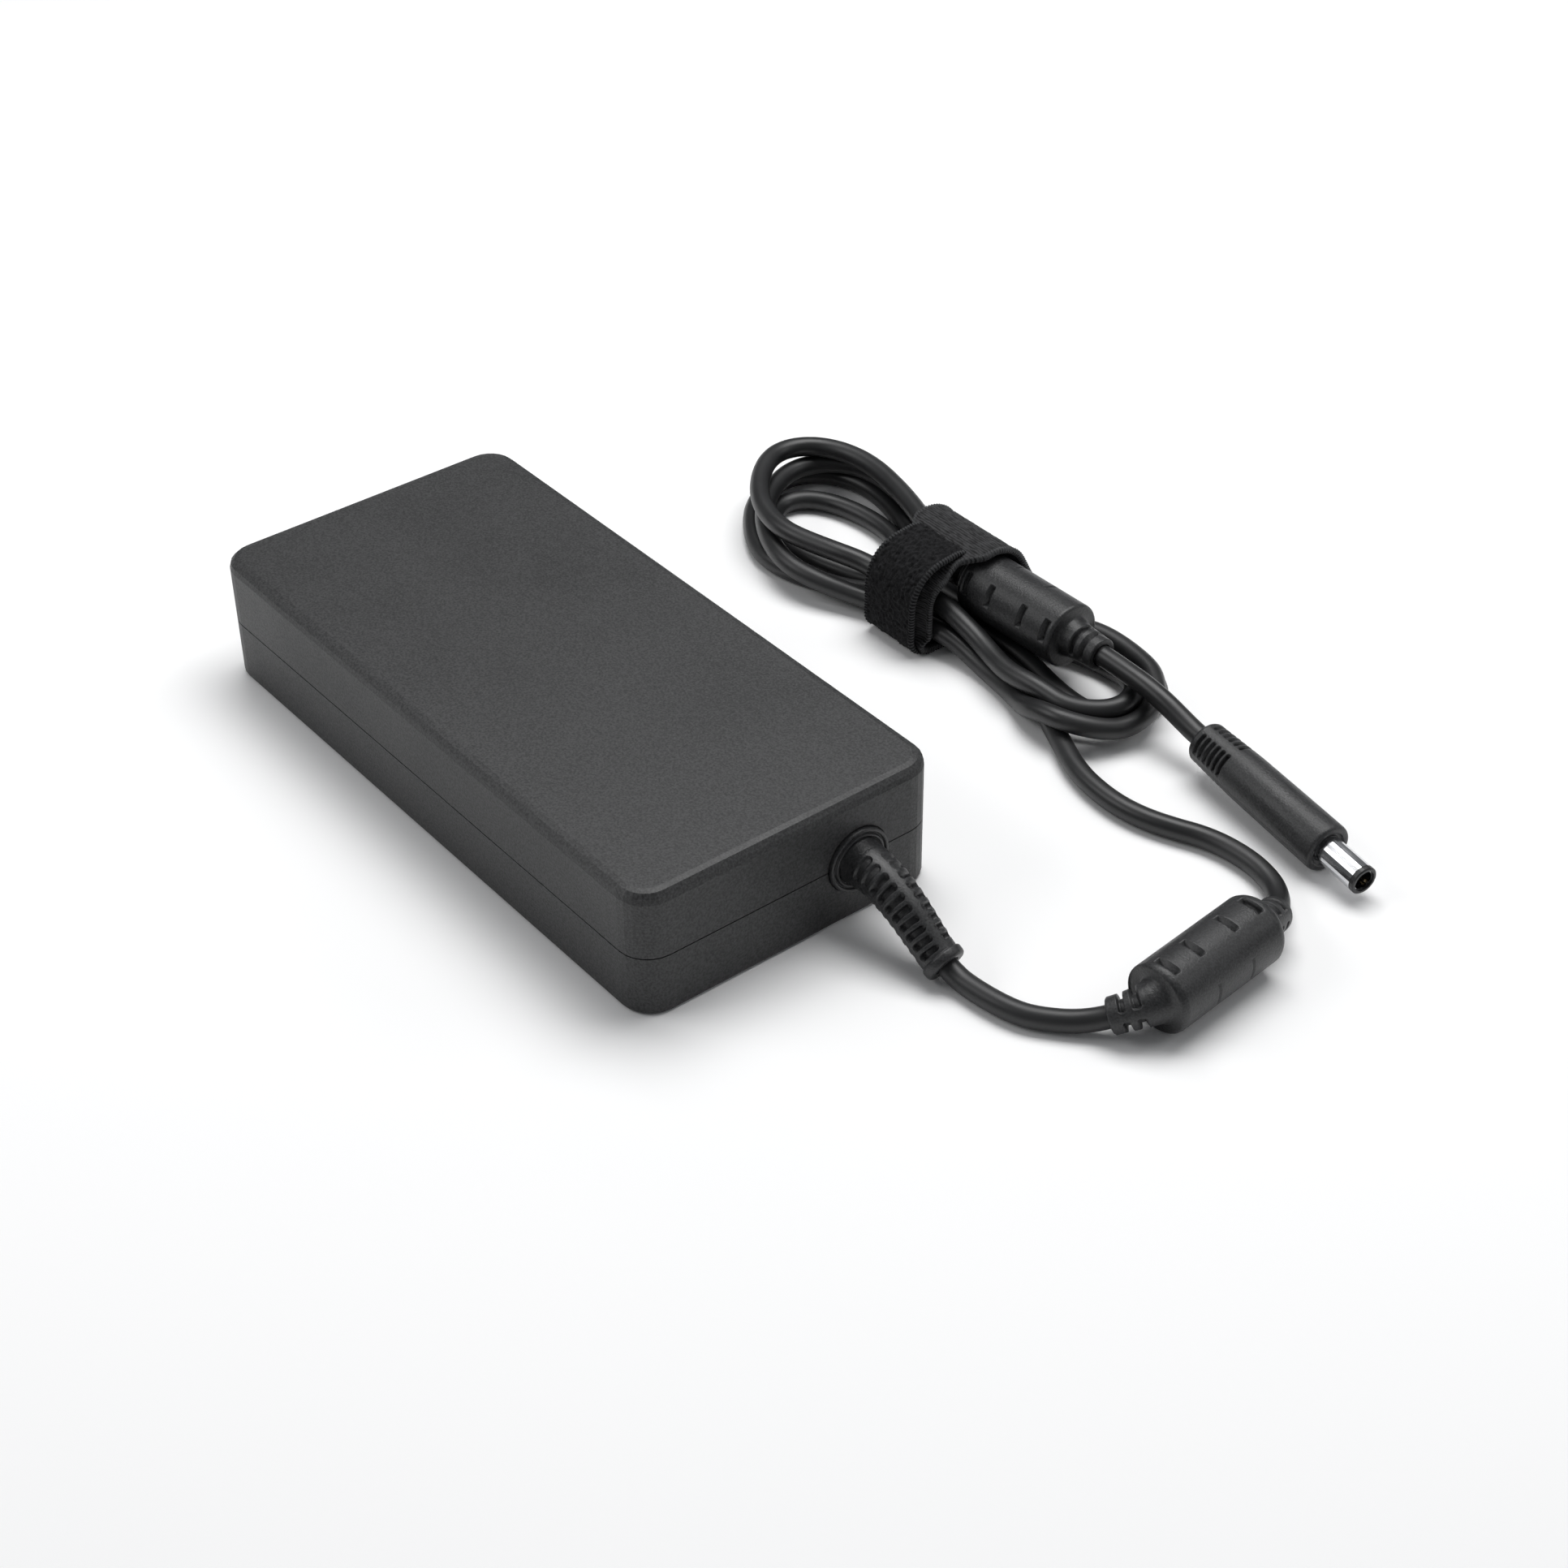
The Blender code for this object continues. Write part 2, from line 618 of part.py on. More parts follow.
def make_ferrite(number, line, near_end, cord_points):
    """A ferrite sleeve in its overmould, threaded on the cord."""
    start = distance_to(line, near_end)
    end = start + FERRITE_LENGTH
    steps = ferrite_steps(start, end)
    points = [point_at(line, distance) for distance, _ in steps]
    radii = [radius for _, radius in steps]
    overmould = as_mesh(tube(f"ferrite_{number}_overmould", points, radii, "boot_plastic", resolution=6))
    bore = as_mesh(tube(f"ferrite_{number}_bore", cord_points, [BORE_RADIUS] * len(cord_points)))
    inset = (FERRITE_LENGTH - CORE_LENGTH) / 2
    low, high = point_at(line, start + inset), point_at(line, end - inset)
    along = (high - low).normalized()
    pocket = cylinder(
        f"ferrite_{number}_pocket", CORE_OUTER + GAP, low - GAP * along, high + GAP * along
    )
    combine(overmould, bore)
    combine(overmould, pocket)
    profile = (
        (CORE_OUTER, CORE_LENGTH),
        (CORE_OUTER, 0.0),
        (CORE_INNER, 0.0),
        (CORE_INNER, CORE_LENGTH),
    )
    turned(f"ferrite_{number}_core", profile, low, along, "ferrite")


def make_cord():
    """The cord in two free stretches, the hank between them, and the two ferrites threaded on it."""
    spacing = 2.4 * 2 * CORD_RADIUS
    fine_from_case = smooth_route(ROUTE_FROM_CASE, 0.0005)
    fine_to_plug = smooth_route(ROUTE_TO_PLUG, 0.0005)
    from_case = smooth_route(ROUTE_FROM_CASE, spacing / 2)
    to_plug = smooth_route(ROUTE_TO_PLUG, spacing / 2)
    tube("cord_case_to_hank", from_case, [CORD_RADIUS] * len(from_case), "cord_rubber")
    tube("cord_hank_to_plug", to_plug, [CORD_RADIUS] * len(to_plug), "cord_rubber")
    make_ferrite(1, fine_from_case, (0.1637, 0.0424, 0.00860), from_case)
    make_ferrite(2, fine_to_plug, (0.0203, 0.1196, 0.0150), to_plug)

    hank = extruded("cord_hank", outline_of(LEFT_LOBE_BENDS), 0, LEFT_LOBE_HEIGHT, "cord_rubber")
    right = extruded("hank_right_lobe", outline_of(RIGHT_LOBE_BENDS), 0, RIGHT_LOBE_HEIGHT)
    waist_x = (STRAP_X[0] - 0.004, STRAP_X[1] + 0.004)
    waist = block(
        "hank_waist",
        (waist_x[1] - waist_x[0], 0.0286, 0.0070),
        (sum(waist_x) / 2, 0.1155, STRAP_THICKNESS + 3 * GAP + 0.0035),
    )
    combine(hank, right, "UNION")
    combine(hank, waist, "UNION")
    onwards = from_case[-1] + (from_case[-1] - from_case[-2]).normalized() * GAP
    way_in = tube("hank_way_in", [*from_case[-8:], onwards], [BORE_RADIUS] * 9)
    combine(hank, as_mesh(way_in))
    combine(hank, as_mesh(tube("hank_way_over", to_plug, [BORE_RADIUS] * len(to_plug))))
    start = Vector((STRAP_X[0] - 0.0002, 0.1196, 0.0150))
    seat_end = Vector((0.0548 + GAP, 0.1202, 0.0150))
    combine(hank, cylinder("ferrite_seat", FERRITE_RADIUS + GAP, start, seat_end))
    boot_end = Vector((0.0680, 0.1204, 0.0150))
    combine(hank, cylinder("ferrite_boot_seat", 0.0057, seat_end - Vector((0.001, 0, 0)), boot_end))


def make_strap():
    """The hook-and-loop strap: a closed band round the hank, and its free end as a tab that peels off."""
    band = extruded("strap_band", outline_of(STRAP_BENDS), *STRAP_X, "strap_hook", along="X")
    inside = outline_of(STRAP_BENDS, -STRAP_THICKNESS)
    combine(band, extruded("strap_inside", inside, STRAP_X[0] - 0.002, STRAP_X[1] + 0.002, along="X"))
    count = 72
    first, last = (round(angle / 360 * count) for angle in TAB_ANGLES)
    outer = outline_of(STRAP_BENDS, GAP + TAB_THICKNESS, count)[first : last + 1]
    inner = outline_of(STRAP_BENDS, GAP, count)[first : last + 1]
    tab = extruded("strap_tab", [*outer, *reversed(inner)], *TAB_X, "strap_loop", along="X")
    combine(tab, block("tab_trim", (0.030, 0.020, 0.020), (0.010, TAB_END_Y + 0.010, 0.0270)))


def make_plug():
    """The low-voltage plug: grip, outer barrel, insulator, inner sleeve and centre pin."""
    along = (PLUG_FRONT - PLUG_REAR).normalized()
    length = (PLUG_FRONT - PLUG_REAR).length
    sink = 0.0060
    grip = (
        (0.0, length - sink),
        (0.0040, length - sink),
        (0.0040, length),
        (0.0056, length),
        (0.0064, length - 0.0008),
        (0.0064, length - 0.0030),
        (0.0062, 0.0160),
        (0.0058, 0.0060),
        (0.0056, 0.0010),
        (0.0049, 0.0),
        (0.0, 0.0),
    )
    turned("plug_grip", grip, PLUG_REAR, along, "boot_plastic")
    front = PLUG_FRONT
    ring_end = BARREL_LENGTH - 0.0014
    barrel = (
        (BARREL_RADIUS, ring_end),
        (BARREL_RADIUS, GAP - sink),
        (0.00340, GAP - sink),
        (0.00340, ring_end),
    )
    turned("plug_barrel", barrel, front, along, "bright_metal")
    insulator = (
        (0.0034, BARREL_LENGTH),
        (BARREL_RADIUS, BARREL_LENGTH - 0.0003),
        (BARREL_RADIUS, ring_end + 0.0001),
        (0.00330, ring_end + 0.0001),
        (0.00330, GAP - sink),
        (0.00285, GAP - sink),
        (0.00285, BARREL_LENGTH),
    )
    turned("plug_insulator", insulator, front, along, "component_black")
    sleeve = (
        (0.00275, BARREL_LENGTH - 0.0006),
        (0.00275, GAP - sink),
        (0.00250, GAP - sink),
        (0.00250, BARREL_LENGTH - 0.0006),
    )
    turned("plug_inner_sleeve", sleeve, front, along, "bright_metal")
    pin_start = front + along * (GAP - sink)
    cylinder("plug_centre_pin", 0.0004, pin_start, front + along * (BARREL_LENGTH - 0.003), "brass", 12)


clear_scene()
make_case()
make_inlet()
make_board()
make_mains_side()
make_switching_side()
make_leads()
make_boot()
make_cord()
make_strap()
make_plug()
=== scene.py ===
"""A laptop power adapter: the case, its cord with two ferrites, the wound hank in its strap, and the plug."""

import math
import bpy
import numpy as np
from mathutils import Matrix, Vector


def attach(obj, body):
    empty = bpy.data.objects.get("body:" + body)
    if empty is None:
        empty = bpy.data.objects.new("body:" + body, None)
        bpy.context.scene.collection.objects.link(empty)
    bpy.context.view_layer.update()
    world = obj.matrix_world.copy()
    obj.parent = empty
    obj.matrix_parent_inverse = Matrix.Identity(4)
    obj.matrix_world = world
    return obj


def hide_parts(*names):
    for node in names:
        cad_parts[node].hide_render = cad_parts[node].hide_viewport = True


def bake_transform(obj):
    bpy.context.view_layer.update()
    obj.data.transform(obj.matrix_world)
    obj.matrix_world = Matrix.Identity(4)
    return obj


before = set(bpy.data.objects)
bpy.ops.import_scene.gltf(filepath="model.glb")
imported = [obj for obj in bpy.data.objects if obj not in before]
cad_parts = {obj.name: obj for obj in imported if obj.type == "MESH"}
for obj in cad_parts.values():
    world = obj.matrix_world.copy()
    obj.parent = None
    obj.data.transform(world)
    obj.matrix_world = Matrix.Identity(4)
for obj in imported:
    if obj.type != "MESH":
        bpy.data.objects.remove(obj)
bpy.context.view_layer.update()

MM = 0.001
CAMERA_PLACE = (0.4829, -0.3101, 0.4281)
# The camera's turn, rise and roll in degrees.
CAMERA_ANGLES = (51.87, 37.33, -0.64)
SENSOR_WIDTH = 36.0
FOCAL_LENGTH = 3515 / 1932 * SENSOR_WIDTH
FLOOR_REACH = 3.0
FLOOR_HEIGHT = -0.0002
BODY = "adapter"
CORD_DIAMETER = 5.5

# Heights of the cord's centreline in millimetres: on the floor, inside the strap, and on one or two turns.
L, S, M, H = 2.75, 4.6, 8.25, 13.75

# The cord's route in millimetres, from the case to the plug, in stretches that meet inside the strap.
OUT_OF_CASE = (
    [(91.0, 18.8, 16.4), (97.0, 18.8, 16.25), (103.0, 18.8, 15.0), (109.0, 18.8, 12.4), (115.0, 18.9, 8.6)]
    + [(119.0, 19.1, 5.9), (122.2, 19.4, 4.25), (126.5, 19.7, 2.95), (131.7, 20.1, L), (139.0, 21.3, L)]
    + [(144.4, 23.2, L), (149.6, 27.0, 2.8), (153.6, 30.6, 3.3), (157.2, 34.3, 4.6), (160.6, 38.2, 6.7)]
    + [(162.9, 41.4, M), (163.6, 44.0, 8.75), (161.9, 60.0, 8.75), (160.2, 76.5, 8.75), (159.6, 80.6, 8.4)]
    + [(158.3, 85.6, 7.0), (156.0, 90.5, 4.8), (152.5, 95.0, 3.2), (147.5, 98.6, L), (140.0, 100.7, L)]
    + [(130.6, 100.6, L), (123.6, 98.9, L), (118.0, 96.4, L), (112.0, 94.0, L), (106.0, 92.5, L)]
    + [(99.5, 92.0, L), (90.0, 93.0, L), (82.0, 95.4, L), (75.0, 98.6, L)]
)
FIRST_RUN = (
    [(68.0, 101.8, L), (60, 105.6, L), (52, 108.8, L), (44, 110.8, L), (36, 111.3, L), (28, 111.0, 3.2)]
    + [(21, 110.3, 4.4), (11, 109.2, S), (1, 107.9, S), (-7, 104.6, 3.6), (-14, 101.2, L), (-22, 97.8, L)]
    + [(-30, 95.2, L), (-37.3, 94.5, L), (-45.4, 96.3, L), (-52.5, 100.3, L), (-60.1, 106.4, L)]
    + [(-65.0, 113, L), (-67.6, 120.5, L), (-67.4, 127.5, L), (-64.5, 132.8, L), (-58.5, 137.2, L)]
    + [(-52, 138.9, L), (-45.6, 139.0, L), (-37, 137.5, L), (-28, 134.6, L), (-18, 130.6, L)]
    + [(-8, 126.8, 3.4), (1, 124.9, S)]
)
FIRST_TURN = (
    [(11, 124.9, S), (21, 125.6, 5.0), (31, 127.9, 5.6), (41, 131.0, 7.2), (51, 133.7, M), (60, 134.1, M)]
    + [(67, 133.0, M), (72.7, 130.6, 7.9), (77.8, 126.8, 7.0), (81.2, 121.8, 6.0), (82.6, 116.2, 5.4)]
    + [(82.0, 111.0, 5.6), (79.6, 105.6, 7.0), (75.6, 101.3, M), (70.9, 99.6, M), (65.8, 99.6, 7.6)]
    + [(58.8, 101.2, 5.5), (51.5, 103.2, 3.6), (44, 104.6, 3.0), (36.6, 105.6, 3.3), (29, 105.6, 4.8)]
    + [(22, 104.6, 6.0), (11, 103.0, 5.4), (1, 101.9, 5.0), (-5, 100.3, 4.9), (-10, 97.6, 5.6)]
    + [(-16, 94.8, 6.6), (-24.8, 92.4, 7.8), (-33.7, 93.7, M), (-42.4, 97.4, M), (-50.4, 102.8, M)]
    + [(-57.0, 109.6, M), (-61.5, 117.0, M), (-63.3, 124.5, M), (-61.0, 132.2, M), (-54.6, 138.0, M)]
    + [(-46.4, 139.8, M), (-38.7, 139.5, 8.1), (-31.6, 138.5, 7.6), (-24, 136.9, 6.9), (-16, 134.8, 6.0)]
    + [(-8, 132.3, 5.2), (1, 130.6, S)]
)
SECOND_TURN = (
    [(11, 130.3, S), (21, 130.8, 4.4), (31, 132.4, L), (41, 134.6, L), (51, 136.6, L), (61, 137.2, L)]
    + [(69, 135.8, L), (75.2, 131.8, L), (78.3, 125.9, L), (77.9, 119.8, L), (74.6, 115.3, L)]
    + [(69.0, 113.1, L), (62, 112.8, L), (54, 113.8, L), (46.2, 114.9, L), (36, 115.9, L), (28, 116.1, 3.2)]
    + [(21, 115.6, 4.4), (11, 114.3, S), (1, 113.4, S), (-8, 110.8, 3.6), (-16, 107.8, L)]
    + [(-26, 104.6, L), (-36, 102.9, L), (-45, 103.9, L), (-52, 107.0, L), (-56.6, 111.6, L)]
    + [(-57.6, 117.0, L), (-54.8, 122.4, L), (-50, 125.7, L), (-44.5, 127.6, L), (-37, 128.8, L)]
    + [(-26, 128.2, L), (-15, 125.4, L), (-7, 122.4, 3.4), (1, 120.2, 4.5)]
)
THIRD_TURN = (
    [(11, 119.4, S), (21, 120.1, 4.3), (31, 122.6, L), (41, 126.2, L), (51, 129.3, L), (60, 130.6, L)]
    + [(67, 129.5, 4.6), (73.6, 126.0, 7.2), (77.8, 120.4, M), (77.4, 113.2, M), (73.9, 108.2, M)]
    + [(68, 104.9, M), (60.8, 103.4, M), (54.9, 103.2, M), (48.1, 103.8, M), (39.7, 105.8, M)]
    + [(31.5, 107.2, 9.3), (25, 107.2, 11.0), (20, 107.0, 12.3), (11, 106.0, 12.6), (1, 104.2, 12.4)]
    + [(-7, 103.6, 13.0), (-13.7, 100.9, H), (-24, 98.1, H), (-33, 96.5, H), (-42.5, 98.0, H)]
    + [(-50.1, 101.3, H), (-58.9, 108.2, H), (-65.2, 116.7, H), (-66.4, 122.8, H), (-63.2, 129.7, H)]
    + [(-57, 134.0, H), (-50.1, 135.9, H), (-42, 136.0, H), (-33, 134.5, H), (-24, 132.2, H)]
    + [(-15, 129.2, H), (-7, 125.7, 14.0)]
)
TO_PLUG = (
    [(1.5, 122.0, 14.5), (9.0, 119.8, 14.95), (20.3, 119.6, 15.0), (54.8, 120.2, 15.0), (66.1, 120.4, 14.95)]
    + [(74.0, 120.5, 14.6), (81.3, 120.5, 14.1), (88.0, 120.6, 12.8), (94.0, 120.7, 11.0)]
    + [(98.5, 120.6, 9.85), (102.1, 120.48, 9.3)]
)
ROUTE = OUT_OF_CASE + FIRST_RUN + FIRST_TURN + SECOND_TURN + THIRD_TURN + TO_PLUG

# The strap's outer face as a band round four bends: y, z and radius in millimetres, clockwise seen from +X.
STRAP_BENDS = ((102.2, 5.2, 5.0), (107.5, 14.3, 10.2), (119.4, 15.0, 10.7), (129.2, 6.2, 6.0))
STRAP_THICKNESS = 1.6
STRAP_X = (0.2, 22.4)
STITCH_PITCH = 0.85
THREAD_COLOUR = (0.052, 0.053, 0.055)
# A wave texture of scale 1 has about this many bands in a metre.
BANDS_PER_METRE = 3.18

BOOT_ROUTE = [(84.5, 18.8, 16.4), *OUT_OF_CASE[:7]]
# Each ferrite's near end, far end, and the angle of its slots round its axis in degrees.
FERRITES = {
    1: ((163.6, 44.0, 8.75), (160.2, 76.5, 8.75), 90.0),
    2: ((20.3, 119.6, 15.0), (54.8, 120.2, 15.0), 26.0),
}
FERRITE_LENGTH = 34.5
FERRITE_RADIUS = 8.75
FERRITE_ROUND = 0.9
FERRITE_BOOT = 11.0
PLUG_REAR, PLUG_FRONT = (102.8, 120.4, 9.2), (149.2, 114.9, 6.5)


# ---------------------------------------------------------------- camera, floor and light


def make_camera():
    """The camera looks down at the plug end and the near long side."""
    turn, rise, roll = (math.radians(angle) for angle in CAMERA_ANGLES)
    back = Vector((math.sin(turn) * math.cos(rise), -math.cos(turn) * math.cos(rise), math.sin(rise)))
    level = Vector((math.cos(turn), math.sin(turn), 0))
    above = back.cross(level)
    right = math.cos(roll) * level + math.sin(roll) * above
    up = math.cos(roll) * above - math.sin(roll) * level
    data = bpy.data.cameras.new("camera")
    data.sensor_width = SENSOR_WIDTH
    data.lens = FOCAL_LENGTH
    data.clip_start, data.clip_end = 0.01, 20.0
    camera = bpy.data.objects.new("camera", data)
    camera.matrix_world = Matrix((right, up, back)).transposed().to_4x4()
    camera.matrix_world.translation = Vector(CAMERA_PLACE)
    bpy.context.scene.collection.objects.link(camera)
    bpy.context.scene.camera = camera


def area_light(name, place, aim, size, power, tint=(1.0, 1.0, 1.0)):
    data = bpy.data.lights.new(name, "AREA")
    data.shape = "RECTANGLE"
    data.size, data.size_y = size
    data.energy, data.color = power, tint
    light = bpy.data.objects.new(name, data)
    light.location = place
    light.rotation_euler = (Vector(aim) - Vector(place)).to_track_quat("-Z", "Y").to_euler()
    bpy.context.scene.collection.objects.link(light)


def make_studio():
    """Three soft lights, a dim world and a pale floor."""
    scene = bpy.context.scene
    scene.view_settings.view_transform = "Standard"
    world = bpy.data.worlds.new("studio")
    world.use_nodes = True
    world.node_tree.nodes["Background"].inputs["Color"].default_value = (0.95, 0.97, 1.0, 1.0)
    world.node_tree.nodes["Background"].inputs["Strength"].default_value = 0.20
    scene.world = world
    centre = (0.03, 0.07, 0.0)
    area_light("overhead", (-0.15, 0.35, 1.0), centre, (1.0, 0.6), 10.8)
    area_light("left", (-0.55, -0.75, 0.75), centre, (0.7, 0.5), 3.3)
    area_light("plug_side", (0.55, 0.75, 0.55), centre, (0.5, 0.3), 0.9)

    mesh = bpy.data.meshes.new("floor")
    corners = [(-1, -1), (1, -1), (1, 1), (-1, 1)]
    corners = [(x * FLOOR_REACH, y * FLOOR_REACH, FLOOR_HEIGHT) for x, y in corners]
    mesh.from_pydata(corners, [], [(0, 1, 2, 3)])
    floor = bpy.data.objects.new("floor", mesh)
    scene.collection.objects.link(floor)
    material = bpy.data.materials.new("floor")
    material.use_nodes = True
    shader = material.node_tree.nodes["Principled BSDF"]
    shader.inputs["Base Color"].default_value = (0.98, 0.98, 0.98, 1)
    shader.inputs["Roughness"].default_value = 0.9
    shader.inputs["Specular IOR Level"].default_value = 0.1
    mesh.materials.append(material)


# ---------------------------------------------------------------- materials


def node(tree, kind, **inputs):
    """A new node with its named inputs linked or set."""
    made = tree.nodes.new(kind)
    for key, value in inputs.items():
        socket = made.inputs[key.replace("_", " ")]
        if isinstance(value, bpy.types.NodeSocket):
            tree.links.new(value, socket)
        else:
            socket.default_value = value
    return made


def noise(tree, where, scale, detail=2.0, roughness=0.5):
    made = node(tree, "ShaderNodeTexNoise", Scale=scale, Detail=detail, Roughness=roughness)
    tree.links.new(where, made.inputs["Vector"])
    return made.outputs["Fac"]


def spread(tree, value, low, high, bottom=0.3, top=0.7):
    """value, which runs from bottom to top, mapped to low to high."""
    made = node(tree, "ShaderNodeMapRange", Value=value)
    made.interpolation_type = "SMOOTHSTEP"
    for key, number in zip(("From Min", "From Max", "To Min", "To Max"), (bottom, top, low, high)):
        made.inputs[key].default_value = number
    return made.outputs["Result"]


def blended(tree, factor, dark, light):
    """A colour between dark, which may be a socket, and light. Inputs 0, 6 and 7 of the node are its factor and
    its two colours."""
    made = tree.nodes.new("ShaderNodeMix")
    made.data_type = "RGBA"
    tree.links.new(factor, made.inputs[0])
    if isinstance(dark, bpy.types.NodeSocket):
        tree.links.new(dark, made.inputs[6])
    else:
        made.inputs[6].default_value = (*dark, 1.0)
    made.inputs[7].default_value = (*light, 1.0)
    return made.outputs[2]


def surface(name, dark, light, rough, grain, depth, cloud=45.0, speckle=0.5, pattern=None, uv=None, **fixed):
    """A procedural finish. dark and light are the ends of its colour, rough the ends of its roughness, grain the
    size in millimetres of its finest detail and depth the height in millimetres of that detail.
    speckle is how much of the colour comes from the grain, and the rest comes from slow clouds.
    pattern(tree, place, fine, tone) gives a height, a tone and where a thread shows, and uv names the UV map in
    which it lies."""
    made = bpy.data.materials.new(name)
    made.use_nodes = True
    tree = made.node_tree
    shader = tree.nodes["Principled BSDF"]
    for key, value in fixed.items():
        shader.inputs[key.replace("_", " ")].default_value = value
    if uv:
        where = tree.nodes.new("ShaderNodeUVMap")
        where.uv_map = uv
        place = where.outputs["UV"]
    else:
        place = tree.nodes.new("ShaderNodeTexCoord").outputs["Object"]
    fine = noise(tree, place, 1000.0 / grain, 3.0, 0.6)
    slow = noise(tree, place, cloud, 4.0, 0.55)
    mix = node(tree, "ShaderNodeMix", Factor=speckle)
    tree.links.new(slow, mix.inputs[2])
    tree.links.new(fine, mix.inputs[3])
    height, tone, thread = fine, mix.outputs[0], None
    if pattern:
        height, tone, thread = pattern(tree, place, fine, tone)
    colour = blended(tree, spread(tree, tone, 0.0, 1.0, 0.32, 0.68), dark, light)
    if thread:
        colour = blended(tree, thread, colour, THREAD_COLOUR)
    tree.links.new(colour, shader.inputs["Base Color"])
    tree.links.new(spread(tree, slow, *rough), shader.inputs["Roughness"])
    bump = node(tree, "ShaderNodeBump", Strength=1.0, Distance=depth * MM, Height=height)
    tree.links.new(bump.outputs["Normal"], shader.inputs["Normal"])
    return made


def waves(tree, place, axis, pitch, distortion=0.0):
    """Bands across the axis, with the pitch in millimetres."""
    scale = 1000.0 / pitch / BANDS_PER_METRE
    made = node(tree, "ShaderNodeTexWave", Scale=scale, Distortion=distortion, Detail=1.0)
    made.bands_direction = axis
    made.inputs["Detail Scale"].default_value = 2.0
    tree.links.new(place, made.inputs["Vector"])
    return made.outputs["Fac"]


def combined(tree, operation, first, second):
    """The result of a maths operation on two sockets or numbers."""
    made = tree.nodes.new("ShaderNodeMath")
    made.operation = operation
    for socket, value in zip(made.inputs, (first, second)):
        if isinstance(value, bpy.types.NodeSocket):
            tree.links.new(value, socket)
        else:
            socket.default_value = value
    return made.outputs[0]


def weighed(tree, first, share, second):
    """A mix of two sockets: the first counts for share, and the second for the rest."""
    first = combined(tree, "MULTIPLY", first, share)
    second = combined(tree, "MULTIPLY", second, 1.0 - share)
    return combined(tree, "ADD", first, second)


def rimmed(tree, place, height, tone):
    """The pattern's height and tone, and where the pale thread of the strap's bound edges shows."""
    rim = tree.nodes.new("ShaderNodeAttribute")
    rim.attribute_name = "rim"
    stitches = spread(tree, waves(tree, place, "X", STITCH_PITCH), 0.0, 1.0, 0.3, 0.7)
    mix = tree.nodes.new("ShaderNodeMix")
    for i, source in ((0, rim.outputs["Fac"]), (2, height), (3, stitches)):
        tree.links.new(source, mix.inputs[i])
    return mix.outputs[0], tone, combined(tree, "MULTIPLY", rim.outputs["Fac"], stitches)


def hook_pattern(tree, place, fine, tone):
    """Short ribs across the strap, each broken into worm-like runs."""
    stretch = tree.nodes.new("ShaderNodeMapping")
    stretch.inputs["Scale"].default_value = (1.0, 0.32, 1.0)
    tree.links.new(place, stretch.inputs["Vector"])
    worms = noise(tree, stretch.outputs["Vector"], 1250.0, 1.0, 0.4)
    weave = waves(tree, place, "X", 0.75, 1.5)
    both = weighed(tree, worms, 0.75, weave)
    return rimmed(tree, place, both, weighed(tree, both, 0.7, tone))


def loop_pattern(tree, place, fine, tone):
    """A brushed pile: tufts with fibres in them."""
    tufts = noise(tree, place, 900.0, 3.0, 0.65)
    both = weighed(tree, tufts, 0.65, fine)
    return rimmed(tree, place, both, both)


